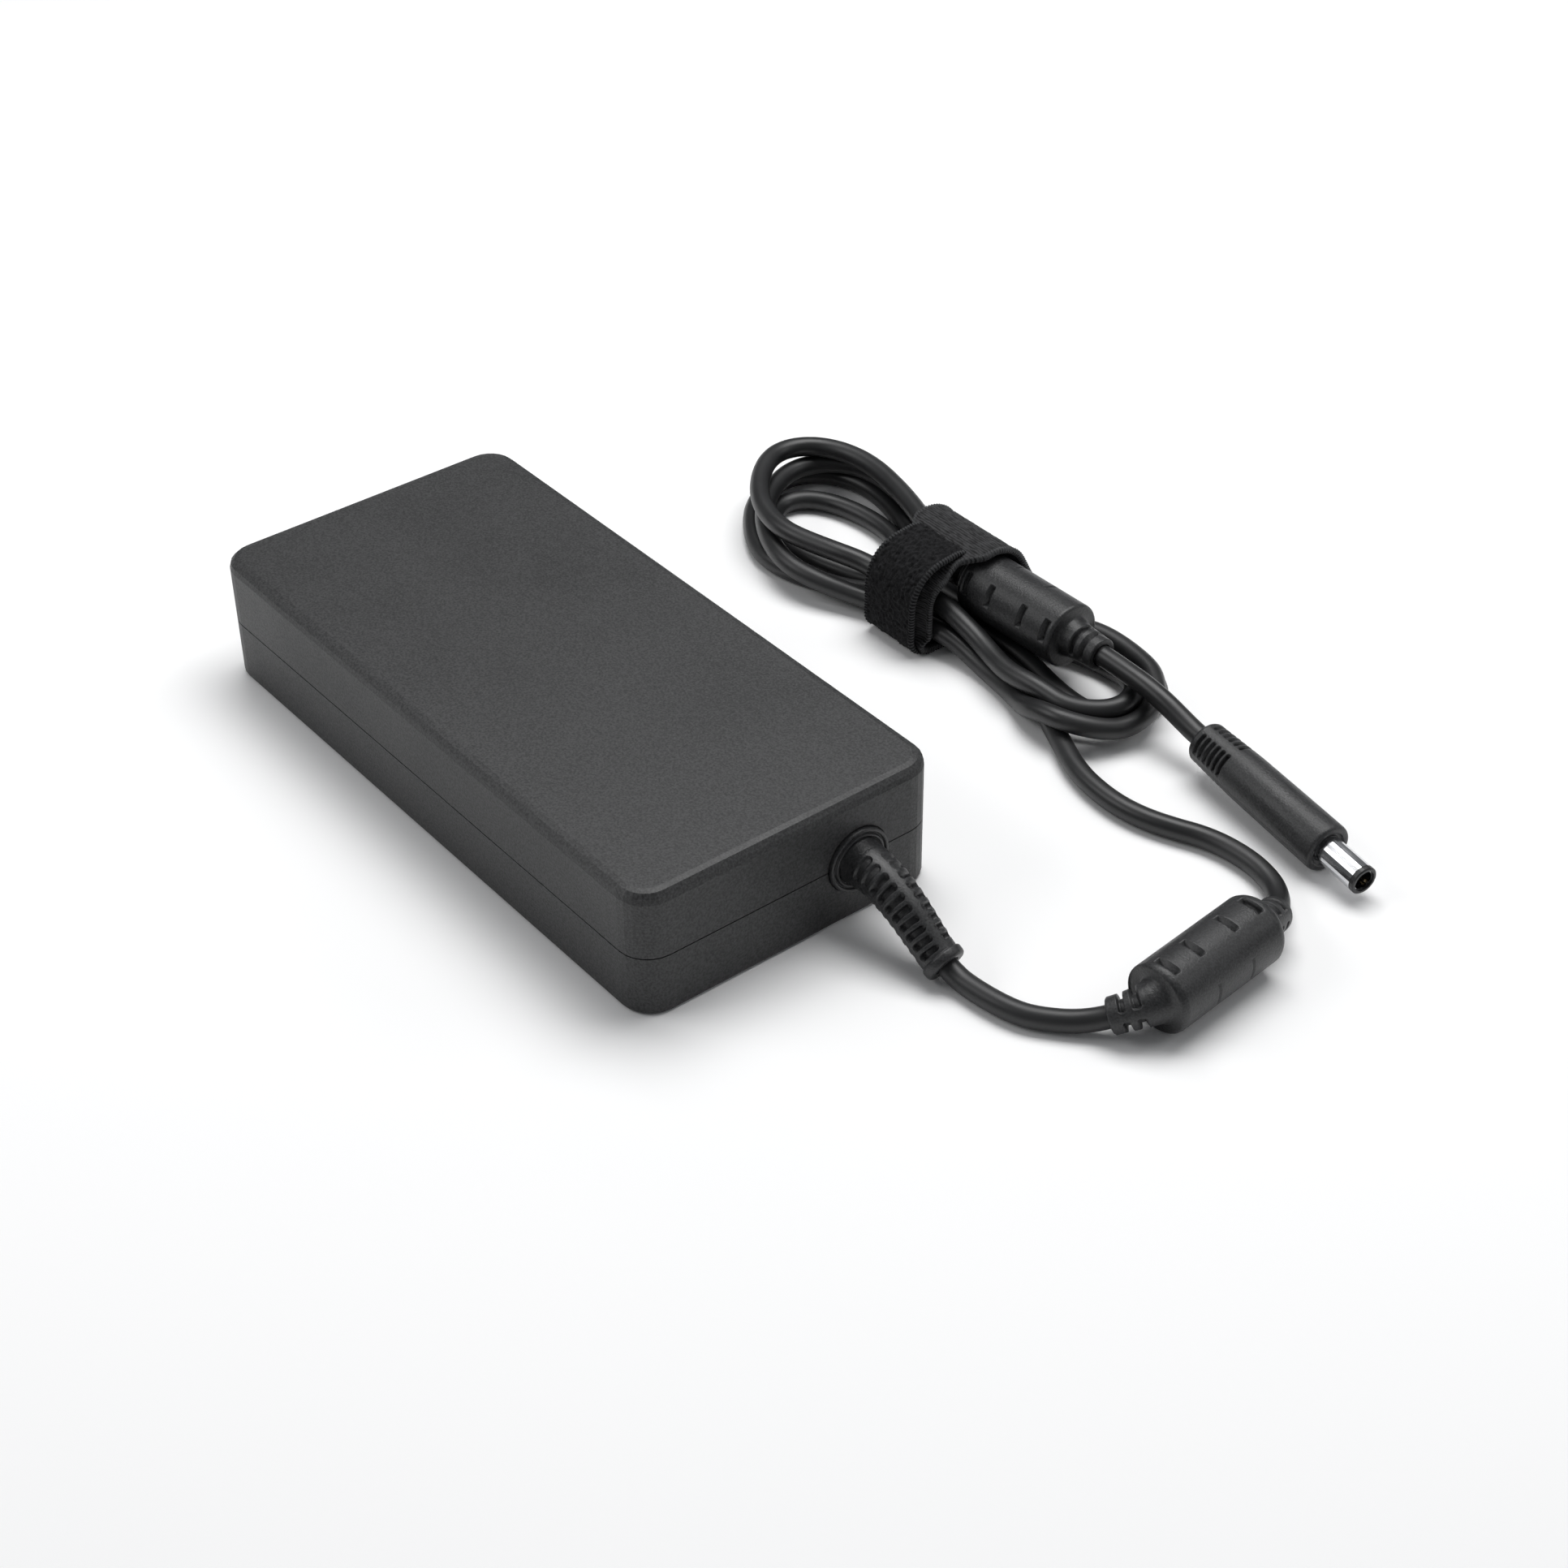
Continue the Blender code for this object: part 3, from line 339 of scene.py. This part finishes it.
LOOKS = {
    "case_plastic": dict(
        dark=(0.007, 0.0072, 0.0076), light=(0.042, 0.0425, 0.0435), rough=(0.46, 0.54), grain=0.55, depth=0.055,
        cloud=28.0, speckle=0.86, Specular_IOR_Level=0.46,
    ),
    "cord_rubber": dict(
        dark=(0.0095, 0.0097, 0.0102), light=(0.015, 0.0152, 0.016), rough=(0.36, 0.46), grain=0.35, depth=0.004,
        cloud=70.0, speckle=0.25, Specular_IOR_Level=0.5,
    ),
    "boot_plastic": dict(
        dark=(0.007, 0.0072, 0.0076), light=(0.030, 0.0305, 0.032), rough=(0.38, 0.48), grain=0.5, depth=0.085,
        cloud=60.0, speckle=0.8, Specular_IOR_Level=0.5,
    ),
    "strap_hook": dict(
        dark=(0.002, 0.002, 0.0022), light=(0.040, 0.040, 0.042), rough=(0.65, 0.8), grain=0.3, depth=0.22,
        cloud=60.0, pattern=hook_pattern, uv="along", Sheen_Weight=0.03, Sheen_Roughness=0.5,
        Specular_IOR_Level=0.25,
    ),
    "strap_loop": dict(
        dark=(0.0012, 0.0012, 0.0014), light=(0.020, 0.020, 0.0215), rough=(0.85, 0.95), grain=0.28, depth=0.45,
        cloud=60.0, pattern=loop_pattern, uv="along", Sheen_Weight=0.02, Sheen_Roughness=0.6,
        Specular_IOR_Level=0.12,
    ),
    "bright_metal": dict(
        dark=(0.58, 0.585, 0.60), light=(0.72, 0.725, 0.74), rough=(0.12, 0.22), grain=0.5, depth=0.001,
        cloud=90.0, speckle=0.3, Metallic=1.0,
    ),
    "brass": dict(
        dark=(0.30, 0.22, 0.10), light=(0.42, 0.32, 0.15), rough=(0.25, 0.4), grain=0.5, depth=0.003, Metallic=1.0
    ),
    "aluminium": dict(
        dark=(0.52, 0.53, 0.54), light=(0.68, 0.69, 0.70), rough=(0.35, 0.5), grain=0.4, depth=0.006, Metallic=1.0
    ),
    "ferrite": dict(dark=(0.02, 0.02, 0.022), light=(0.05, 0.05, 0.053), rough=(0.4, 0.6), grain=0.4, depth=0.03),
    "board": dict(dark=(0.010, 0.065, 0.028), light=(0.018, 0.10, 0.045), rough=(0.35, 0.5), grain=0.6, depth=0.01),
    "component_black": dict(
        dark=(0.0105, 0.0107, 0.0112), light=(0.024, 0.0245, 0.0255), rough=(0.4, 0.55), grain=0.4, depth=0.02
    ),
    "component_blue": dict(
        dark=(0.02, 0.07, 0.24), light=(0.035, 0.11, 0.33), rough=(0.3, 0.45), grain=0.5, depth=0.01
    ),
    "component_yellow": dict(
        dark=(0.55, 0.38, 0.03), light=(0.70, 0.50, 0.06), rough=(0.35, 0.5), grain=0.5, depth=0.01
    ),
    "winding": dict(dark=(0.25, 0.09, 0.025), light=(0.42, 0.16, 0.05), rough=(0.3, 0.45), grain=0.5, depth=0.05),
    "insulation": dict(dark=(0.42, 0.36, 0.22), light=(0.58, 0.50, 0.32), rough=(0.5, 0.7), grain=0.6, depth=0.01),
    "label": dict(dark=(0.30, 0.30, 0.31), light=(0.38, 0.38, 0.39), rough=(0.35, 0.45), grain=0.5, depth=0.004),
}


def make_materials():
    """Makes a finish for each of the model's material slots, and gives it to the model's own pieces."""
    finishes = {name: surface(name, **look) for name, look in LOOKS.items()}
    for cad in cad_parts.values():
        for held in cad.material_slots:
            slot = held.material.name.split(".")[0] if held.material else None
            if slot in finishes:
                held.material = finishes[slot]
    return finishes


# ---------------------------------------------------------------- routes and shells


def distances(line):
    """How far each of the line's points is along it."""
    return np.concatenate([[0], np.cumsum(np.linalg.norm(np.diff(line, axis=0), axis=1))])


def even(line, spacing):
    """The line's points again, evenly spaced along it."""
    done = distances(line)
    places = np.linspace(0, done[-1], max(2, int(round(done[-1] / spacing))) + 1)
    return np.stack([np.interp(places, done, line[:, k]) for k in range(line.shape[1])], axis=1)


def through(points, spacing):
    """One smooth line through the points: a centripetal Catmull-Rom spline."""
    held = np.array(points, float)
    held = np.vstack([2 * held[0] - held[1], held, 2 * held[-1] - held[-2]])
    t = np.concatenate([[0], np.cumsum(np.linalg.norm(np.diff(held, axis=0), axis=1) ** 0.5)])
    out = []
    for i in range(1, len(held) - 2):
        (p0, p1, p2, p3), (t0, t1, t2, t3) = held[i - 1 : i + 3], t[i - 1 : i + 3]
        s = np.linspace(t1, t2, 25)[:, None]
        a1 = (t1 - s) / (t1 - t0) * p0 + (s - t0) / (t1 - t0) * p1
        a2 = (t2 - s) / (t2 - t1) * p1 + (s - t1) / (t2 - t1) * p2
        a3 = (t3 - s) / (t3 - t2) * p2 + (s - t2) / (t3 - t2) * p3
        b1 = (t2 - s) / (t2 - t0) * a1 + (s - t0) / (t2 - t0) * a2
        b2 = (t3 - s) / (t3 - t1) * a2 + (s - t1) / (t3 - t1) * a3
        out.append(((t2 - s) / (t2 - t1) * b1 + (s - t1) / (t2 - t1) * b2)[:-1])
    return even(np.vstack([*out, held[-2:-1]]), spacing)


def inside_strap(points, inset):
    """Moves the points inside the strap's outer face, less the inset. Each side of the band is a plane that
    touches two of its bends."""
    for i, (y1, z1, r1) in enumerate(STRAP_BENDS):
        y2, z2, r2 = STRAP_BENDS[(i + 1) % len(STRAP_BENDS)]
        heading = math.atan2(z2 - z1, y2 - y1) + math.pi / 2
        heading -= math.asin((r1 - r2) / math.hypot(y2 - y1, z2 - z1))
        across, up = math.cos(heading), math.sin(heading)
        over = (points[:, 1] - y1) * across + (points[:, 2] - z1) * up - (r1 - inset)
        over = np.maximum(over, 0)
        points[:, 1] -= over * across
        points[:, 2] -= over * up
    return points


def settled(line, pinned, spacing, rounds=200):
    """The line as a stiff round cord that rests on the floor, on itself and in the strap. In each round the
    cord straightens, is held near its route, sinks, keeps its length, and comes apart where it cuts itself."""
    straighten, hold, sink, stretch = 0.25, 0.06, 0.005, 0.25
    d = CORD_DIAMETER
    p, free = line.copy(), ~pinned
    index = np.arange(len(p))
    apart = np.abs(index[:, None] - index[None, :]) > int(round(2.2 * d / spacing))
    first, second = np.where(np.triu(apart))
    for _ in range(rounds):
        straight = p.copy()
        straight[2:-2] = (-p[:-4] + 4 * p[1:-3] + 4 * p[3:-1] - p[4:]) / 6
        p[free] += straighten * (straight - p)[free]
        pull = hold * (line - p)
        pull[:, 2] -= sink
        p[free] += pull[free]
        for _ in range(2):
            step = np.diff(p, axis=0)
            length = np.linalg.norm(step, axis=1)[:, None]
            change = stretch * (length - spacing) * step / length
            move = np.zeros_like(p)
            move[:-1] += change
            move[1:] -= change
            p[free] += move[free]
        for _ in range(2):
            between = p[second] - p[first]
            length = np.linalg.norm(between, axis=1)
            hit = length < d
            if not hit.any():
                continue
            i, j, between, length = first[hit], second[hit], between[hit], length[hit]
            change = ((d - length) / 2 / np.maximum(length, 1e-6))[:, None] * between
            move, count = np.zeros_like(p), np.zeros(len(p))
            np.add.at(move, i, -change)
            np.add.at(move, j, change)
            np.add.at(count, i, 1)
            np.add.at(count, j, 1)
            p[free] += (move / np.maximum(count, 1)[:, None] ** 0.5)[free]
        p[free, 2] = np.maximum(p[free, 2], d / 2)
        strapped = free & (p[:, 0] > STRAP_X[0]) & (p[:, 0] < STRAP_X[1])
        p[strapped] = inside_strap(p[strapped], STRAP_THICKNESS + d / 2 + 0.1)
    return p


def cord_line():
    """The cord's settled line. Its stretches before the hank and from the second ferrite on stay on the route."""
    spacing = 3.0
    line = through(ROUTE, spacing)
    at_hank = np.argmin(np.linalg.norm(line - (80, 96, L), axis=1))
    at_ferrite = len(line) - 1 - np.argmin(np.linalg.norm(line[::-1] - (9, 119.8, 14.95), axis=1))
    index = np.arange(len(line))
    pinned = (index < at_hank) | (index > at_ferrite)
    return through(settled(line, pinned, spacing), 1.2)


def frames_of(line):
    """The tangent, right-hand side and top of a line that is never upright, at each of its points."""
    along = np.gradient(line, axis=0)
    along /= np.linalg.norm(along, axis=1)[:, None]
    right = np.cross(along, (0.0, 0.0, 1.0))
    right /= np.linalg.norm(right, axis=1)[:, None]
    return along, right, np.cross(right, along)


def mesh_object(name, points, faces, slot, body=BODY, uv=None, rim=None):
    """Adds a mesh given in millimetres, with the finish of a material slot. uv holds a pair of numbers for each
    point, in metres, and rim how far each point is part of a bound edge."""
    mesh = bpy.data.meshes.new(name)
    mesh.from_pydata((np.asarray(points) * MM).tolist(), [], faces)
    mesh.materials.append(finishes[slot])
    mesh.shade_smooth()
    if uv is not None:
        layer = mesh.uv_layers.new(name="along")
        corners = np.empty(len(mesh.loops), np.int32)
        mesh.loops.foreach_get("vertex_index", corners)
        layer.data.foreach_set("uv", np.asarray(uv)[corners].astype(np.float32).ravel())
    if rim is not None:
        mesh.attributes.new("rim", "FLOAT", "POINT").data.foreach_set("value", np.asarray(rim, np.float32))
    made = bpy.data.objects.new(name, mesh)
    bpy.context.scene.collection.objects.link(made)
    if body:
        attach(made, body)
    return made


def grid_faces(rows, columns, wrap_rows=False):
    """Faces of a grid of points whose columns close on themselves."""
    faces = []
    for i in range(rows if wrap_rows else rows - 1):
        a, b = i * columns, (i + 1) % rows * columns
        for j in range(columns):
            k = (j + 1) % columns
            faces.append((a + j, a + k, b + k, b + j))
    return faces


def shell(name, line, profile, count, slot, dents=None):
    """A closed skin round a line, with count points in each ring. profile lists (distance, radius) along it, and
    dents(distance, radius, angle) gives how far the skin is pressed in, with the angle in degrees from the
    right-hand side up."""
    _, right, top = frames_of(line)
    done = distances(line)
    profile = np.array(profile, float)
    s, r = profile[:, 0], profile[:, 1]

    def at(values):
        return np.stack([np.interp(s, done, values[:, k]) for k in range(3)], axis=1)

    centre, right, top = at(line), at(right), at(top)
    angles = np.arange(count) * 360.0 / count
    deep = np.zeros((len(s), count))
    if dents is not None:
        deep = dents(s[:, None], r[:, None], angles[None, :])
    reach = np.maximum(r[:, None] - deep, 0.05)[..., None]
    turn = np.radians(angles)[None, :, None]
    points = centre[:, None] + reach * (np.cos(turn) * right[:, None] + np.sin(turn) * top[:, None])
    points = points.reshape(-1, 3)
    faces = [face[::-1] for face in grid_faces(len(s), count)]
    ends = np.vstack([centre[0], centre[-1]])
    first, last = len(points), len(points) + 1
    base = (len(s) - 1) * count
    for j in range(count):
        k = (j + 1) % count
        faces.append((first, k, j))
        faces.append((last, base + j, base + k))
    return mesh_object(name, np.vstack([points, ends]), faces, slot)


def fill_in(profile, spacing):
    """The profile with more points, evenly spaced along each of its straight pieces."""
    out = [profile[0]]
    for (s0, r0), (s1, r1) in zip(profile, profile[1:]):
        steps = max(1, int(math.ceil(abs(s1 - s0) / spacing)))
        out += [(s0 + (s1 - s0) * k / steps, r0 + (r1 - r0) * k / steps) for k in range(1, steps + 1)]
    return out


def off_angle(angle, middle):
    """How far an angle is past the middle, from -180 to 180 degrees."""
    return (angle - middle + 180.0) % 360.0 - 180.0


def pressed(distance, depth, edge=0.16):
    """A dent's depth from the signed distance to its outline, with walls that lean over a short edge."""
    t = np.clip(0.5 - distance / edge, 0, 1)
    return depth * t * t * (3 - 2 * t)


def obround(s, r, angle, place, middle, width, span, depth):
    """A slot with round ends across the line: width along the line in millimetres, span in degrees."""
    across = np.radians(np.abs(off_angle(angle, middle))) * r
    half = np.radians(span / 2) * r - width / 2
    return pressed(np.hypot(np.maximum(across - half, 0), s - place) - width / 2, depth)


def oblong(s, r, angle, place, middle, width, span, depth, edge=0.16):
    """A slot with square ends across the line."""
    across = np.radians(np.abs(off_angle(angle, middle))) * r - np.radians(span / 2) * r
    return pressed(np.maximum(across, np.abs(s - place) - width / 2), depth, edge)


# ---------------------------------------------------------------- the cord and the pieces on it


def make_cord(line):
    profile = [(done, CORD_DIAMETER / 2) for done in distances(line)]
    made = shell("output_cord", line, profile, 24, "cord_rubber")
    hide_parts("cord_case_to_hank", "cord_hank", "cord_hank_to_plug")
    return made


def make_boot():
    """The strain relief: a flange of two rings on the case, a smooth neck, and a sleeve with four rows of slots."""
    line = through(BOOT_ROUTE, 0.5)
    length = np.linalg.norm(np.diff(line, axis=0), axis=1).sum()
    slots, pitch, first, collar = 10, 2.62, 12.6, 2.7
    shallow, full = 0.6, 1.5
    flange = [(5.9, 4.6), (5.9, 8.35), (6.1, 8.5), (7.35, 8.5), (7.6, 8.38), (7.7, 8.15), (7.7, 7.75)]
    flange += [(7.6, 7.6), (7.05, 7.5), (7.05, 7.15), (7.6, 7.05), (7.75, 6.95), (7.8, 6.7), (7.75, 6.5)]
    flange += [(7.2, 6.35), (7.2, 6.2)]
    sleeve_end = length - collar
    neck = [(7.7, 6.08), (8.4, 5.95), (9.5, 5.82), (10.8, 5.75)]
    sleeve = [(11.2, 5.78), (sleeve_end - 0.4, 4.75), (sleeve_end, 4.7)]
    end = [(sleeve_end + 0.15, 5.0), (sleeve_end + 0.5, 5.25), (sleeve_end + 0.9, 5.3)]
    end += [(length - 0.7, 5.22), (length - 0.3, 5.05), (length, 4.7), (length, 3.4), (length - 0.3, 2.9)]
    profile = flange + fill_in(neck + sleeve, 0.17) + end

    def dents(s, r, angle):
        deep = np.zeros(np.broadcast(s, angle).shape)
        for row in range(4):
            shift = 0.0 if row % 2 == 0 else pitch / 2
            for i in range(slots):
                place = first + pitch * i + shift
                if place + 0.8 < sleeve_end:
                    depth = full if i > 1 else shallow
                    one = obround(s, r, angle, place, middle=39 + 90 * row, width=1.56, span=66, depth=depth)
                    deep = np.maximum(deep, np.where(s > 10.8, one, 0))
        return deep

    made = shell("boot", line, profile, 216, "boot_plastic", dents)
    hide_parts("dc_boot")
    return made


def make_ferrite(number, line):
    """A ferrite's straight sleeve with rounded ends and slots, between two ringed boots that follow the cord."""
    near, far, side = FERRITES[number]
    done = distances(line)
    start = done[np.argmin(np.linalg.norm(line - near, axis=1))]
    end = start + FERRITE_LENGTH
    axis = np.array(far, float) - np.array(near, float)
    axis /= np.linalg.norm(axis)
    straight = np.stack([near + axis * t for t in np.linspace(0, FERRITE_LENGTH, 30)])
    before = (done > start - FERRITE_BOOT - 0.6) & (done < start - 1.0)
    after = (done > end + 1.0) & (done < end + FERRITE_BOOT + 0.6)
    axis_line = even(np.vstack([line[before], straight, line[after]]), 0.5)

    # The sleeve runs from a to b along the new line.
    a = distances(axis_line)[np.argmin(np.linalg.norm(axis_line - near, axis=1))]
    b = a + FERRITE_LENGTH
    rings = [(0.0, 3.0), (0.0, 4.1), (0.35, 4.4), (2.7, 4.45), (2.95, 4.5), (4.1, 4.55), (6.5, 4.75)]
    rings += [(8.3, 4.95), (9.6, 5.2), (10.5, 5.5), (10.9, 6.1)]
    turns = [math.radians(90 * k / 4) for k in range(5)]
    curve, shoulder = FERRITE_ROUND, FERRITE_RADIUS - FERRITE_ROUND
    profile = [(a - FERRITE_BOOT + t, r) for t, r in rings]
    profile += [(a + curve - curve * math.cos(turn), shoulder + curve * math.sin(turn)) for turn in turns]
    profile += [(b - curve + curve * math.sin(turn), shoulder + curve * math.cos(turn)) for turn in turns]
    profile += [(b + FERRITE_BOOT - t, r) for t, r in reversed(rings)]
    profile = fill_in(profile, 0.22)
    stations = [a + t for t in (2.7, 11.3, 23.2, 31.8)]
    grooves = [place for t in (3.5, 6.6) for place in (a - FERRITE_BOOT + t, b + FERRITE_BOOT - t)]

    def dents(s, r, angle):
        deep = np.zeros(np.broadcast(s, angle).shape)
        for middle in (side, side + 180):
            cuts = [
                oblong(s, r, angle, place, middle, width=1.85, span=40, depth=1.7, edge=0.1)
                for place in stations
            ]
            cuts += [
                oblong(s, r, angle, place, middle + 90, width=0.7, span=38, depth=0.3, edge=0.4)
                for place in stations[1:3]
            ]
            cuts += [obround(s, r, angle, place, middle + 25, width=1.4, span=150, depth=1.5) for place in grooves]
            for cut in cuts:
                deep = np.maximum(deep, cut)
        return deep

    made = shell(f"ferrite_{number}_sleeve", axis_line, profile, 232, "boot_plastic", dents)
    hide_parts(f"ferrite_{number}_overmould")
    return made


def make_plug():
    """The plug's straight grip, with four rows of slots at its rear and a moulding seam on two sides."""
    rear, front = np.array(PLUG_REAR), np.array(PLUG_FRONT)
    length = np.linalg.norm(front - rear)
    line = np.stack([rear + (front - rear) * t for t in np.linspace(0, 1, 40)])
    grip = [(0.0, 3.2), (0.0, 4.7), (0.25, 5.25), (0.8, 5.55), (6.0, 5.8), (14.0, 6.12)]
    tail = [(16.0, 6.2), (22.0, 6.25), (28.0, 6.3), (34.0, 6.35), (40.0, 6.38)]
    tail += [(length - 1.1, 6.4), (length - 0.55, 6.3), (length - 0.18, 6.1), (length, 5.75)]
    tail += [(length, 4.75), (length - 0.12, 4.62), (length - 0.7, 4.5), (length - 0.7, 3.72)]
    profile = fill_in(grip, 0.16) + tail

    def dents(s, r, angle):
        deep = np.zeros(np.broadcast(s, angle).shape)
        for row in range(4):
            for i in range(6):
                one = obround(s, r, angle, 2.6 + 1.9 * i, middle=31 + 90 * row, width=1.0, span=62, depth=1.3)
                deep = np.maximum(deep, one)
        for seam in (-14.0, 166.0):
            line_in = pressed(np.radians(np.abs(off_angle(angle, seam))) * r - 0.09, 0.10, 0.12)
            deep = np.maximum(deep, np.where(s < length - 0.6, line_in, 0))
        return deep

    made = shell("grip", line, profile, 252, "boot_plastic", dents)
    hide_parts("plug_grip")
    return made


# ---------------------------------------------------------------- the strap


def hull_outline(spacing=0.22):
    """The strap's outer face in the YZ plane, from +Y up and round: its evenly spaced points, the angle that it
    faces at each, and how far round each is."""
    angles = np.radians(np.arange(0, 360, 0.5))
    way = np.stack([np.cos(angles), np.sin(angles)], axis=1)
    bends = np.array(STRAP_BENDS)
    reach = bends[:, :2] @ way.T + bends[:, 2:]
    best = np.argmax(reach, axis=0)
    points = bends[best, :2] + bends[best, 2:] * way
    closed = np.vstack([points, points[:1]])
    done = distances(closed)
    places = np.linspace(0, done[-1], int(done[-1] / spacing) + 1)
    angle = np.interp(places, done, np.degrees(np.append(angles, 2 * np.pi)))
    line = np.stack([np.interp(places, done, closed[:, k]) for k in range(2)], axis=1)
    return line[:-1], angle[:-1], places[:-1]


def smoothly(value, low, high):
    """A smooth step from 0 at low to 1 at high."""
    t = np.clip((value - low) / (high - low), 0, 1)
    return t * t * (3 - 2 * t)


def tufted(rng, rows, columns, rounds=3):
    """A field of random heights, fine ones over coarser tufts."""
    fine = rng.normal(size=(rows, columns))
    tufts = fine
    for _ in range(rounds):
        for axis in (0, 1):
            tufts = (np.roll(tufts, 1, axis) + tufts + np.roll(tufts, -1, axis)) / 3
    return 0.55 * fine + 0.85 * tufts / tufts.std()


def strap_sheet(name, outline, ends, thick, lift, face, finish, body, closed, seed, lowest):
    """A band of fabric along an outline in the YZ plane: its points, their angles and how far along each is.
    ends are its lowest and highest X and thick its thickness, per point. lift(x, i) moves the fabric along its
    normal, and face(edge, along, step) is the relief of its outer face. lowest is the height at which the
    floor flattens it."""
    line, angle, places = outline
    normal = np.stack([np.cos(np.radians(angle)), np.sin(np.radians(angle))], axis=1)
    x_low, x_high, thick = ends[0][:, None], ends[1][:, None], thick[:, None]
    rows, columns, edge_round = len(line), 78, 0.45
    part = np.linspace(0, 1, columns)
    along = np.repeat(places[:, None], columns, axis=1)
    index = np.repeat(np.arange(rows)[:, None], columns, axis=1)
    step = tufted(np.random.default_rng(seed), rows, columns)
    points, uv, rim = [], [], []
    for side in ("outer", "inner"):
        order = part if side == "outer" else part[::-1]
        x = x_low + (x_high - x_low) * order[None, :]
        edge = np.minimum(x - x_low, x_high - x)
        inward = 1 - np.clip(edge / edge_round, 0, 1)
        round_off = edge_round * thick * (1 - np.sqrt(np.clip(1 - inward**2, 0, 1)))
        moved = lift(x, index)
        if side == "outer":
            moved = moved - round_off + face(edge, along, step)
        else:
            moved = moved - thick + round_off
        y = line[:, None, 0] + moved * normal[:, None, 0]
        z = np.maximum(line[:, None, 1] + moved * normal[:, None, 1], lowest)
        points.append(np.stack([x, y, z], axis=2))
        rim.append(smoothly(edge, 1.3, 1.1))
        uv.append(np.stack([along * MM, x * MM], axis=2))
    points, uv, rim = (np.concatenate(parts, axis=1) for parts in (points, uv, rim))
    across = points.shape[1]
    faces = grid_faces(rows, across, wrap_rows=closed)
    if not closed:
        faces.append(tuple(range(across - 1, -1, -1)))
        faces.append(tuple((rows - 1) * across + j for j in range(across)))
    return mesh_object(name, points.reshape(-1, 3), faces, finish, body, uv.reshape(-1, 2), rim.ravel())


def selvedge(edge, along):
    """A bound edge with a row of stitches."""
    inside = smoothly(edge, 1.25, 0.95) * smoothly(edge, 0.0, 0.25)
    return inside * (0.10 + 0.20 * np.sin(2 * np.pi * along / STITCH_PITCH))


def make_band(outline):
    """The closed band of hook fabric round the cords, wider where it also covers the second ferrite."""
    y, z = outline[0].T
    wide = smoothly(y, 110.5, 117.0) * smoothly(z, 1.0, 8.0)
    front = smoothly(y, 111.0, 104.0) * smoothly(z, 1.5, 6.0)
    ends = (1.0 - 3.6 * wide, 21.6 + 4.4 * wide + 1.0 * front)
    thick = STRAP_THICKNESS - 0.35 * front

    def tuck(x, i):
        """Where the outer layer covers the band, its free edge leans in towards the cords."""
        return 1.1 * wide[i] - 2.7 * front[i] * smoothly(x, 12.0, 21.0)

    def ribs(edge, along, step):
        return selvedge(edge, along) + np.where(edge > 1.45, 0.05 * step, 0.0)

    made = strap_sheet(
        "strap_wrap", outline, ends, thick, tuck, ribs, "strap_hook", BODY, closed=True, seed=5, lowest=0.1
    )
    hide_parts("strap_band")


def make_tail(outline):
    """The outer layer of loop fabric, which runs from under the front, up over it, and ends on top. It peels off."""
    clearance = 0.22
    line, angle, _ = outline
    y, z = line.T
    chosen = (angle > 88) & (angle < 256) & ((y < 114.6) | (z < 12))
    line, angle, places = (held[chosen] for held in outline)
    low = smoothly(angle, 262, 185)
    end = smoothly(places, places[0] - 0.4, places[0] + 3.2)
    thick = 0.15 + 1.25 * low * (0.35 + 0.65 * end)
    rise = clearance + thick
    ends = (np.full(len(line), 1.2), np.full(len(line), 20.4))

    def out(x, i):
        return rise[i]

    def pile(edge, along, step):
        return selvedge(edge, along) + np.where(edge > 1.3, 0.13 * step, 0.01 * step)

    outline = (line, angle, places)
    made = strap_sheet(
        "strap_tail", outline, ends, thick, out, pile, "strap_loop", None, closed=False, seed=9, lowest=0.0
    )
    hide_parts("strap_tab")
    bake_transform(made)


# ---------------------------------------------------------------- all of it

make_camera()
make_studio()
finishes = make_materials()
line = cord_line()
cord = make_cord(line)
boot = make_boot()
ferrite_1 = make_ferrite(1, line)
ferrite_2 = make_ferrite(2, line)
grip = make_plug()
strap_outline = hull_outline()
make_band(strap_outline)
make_tail(strap_outline)
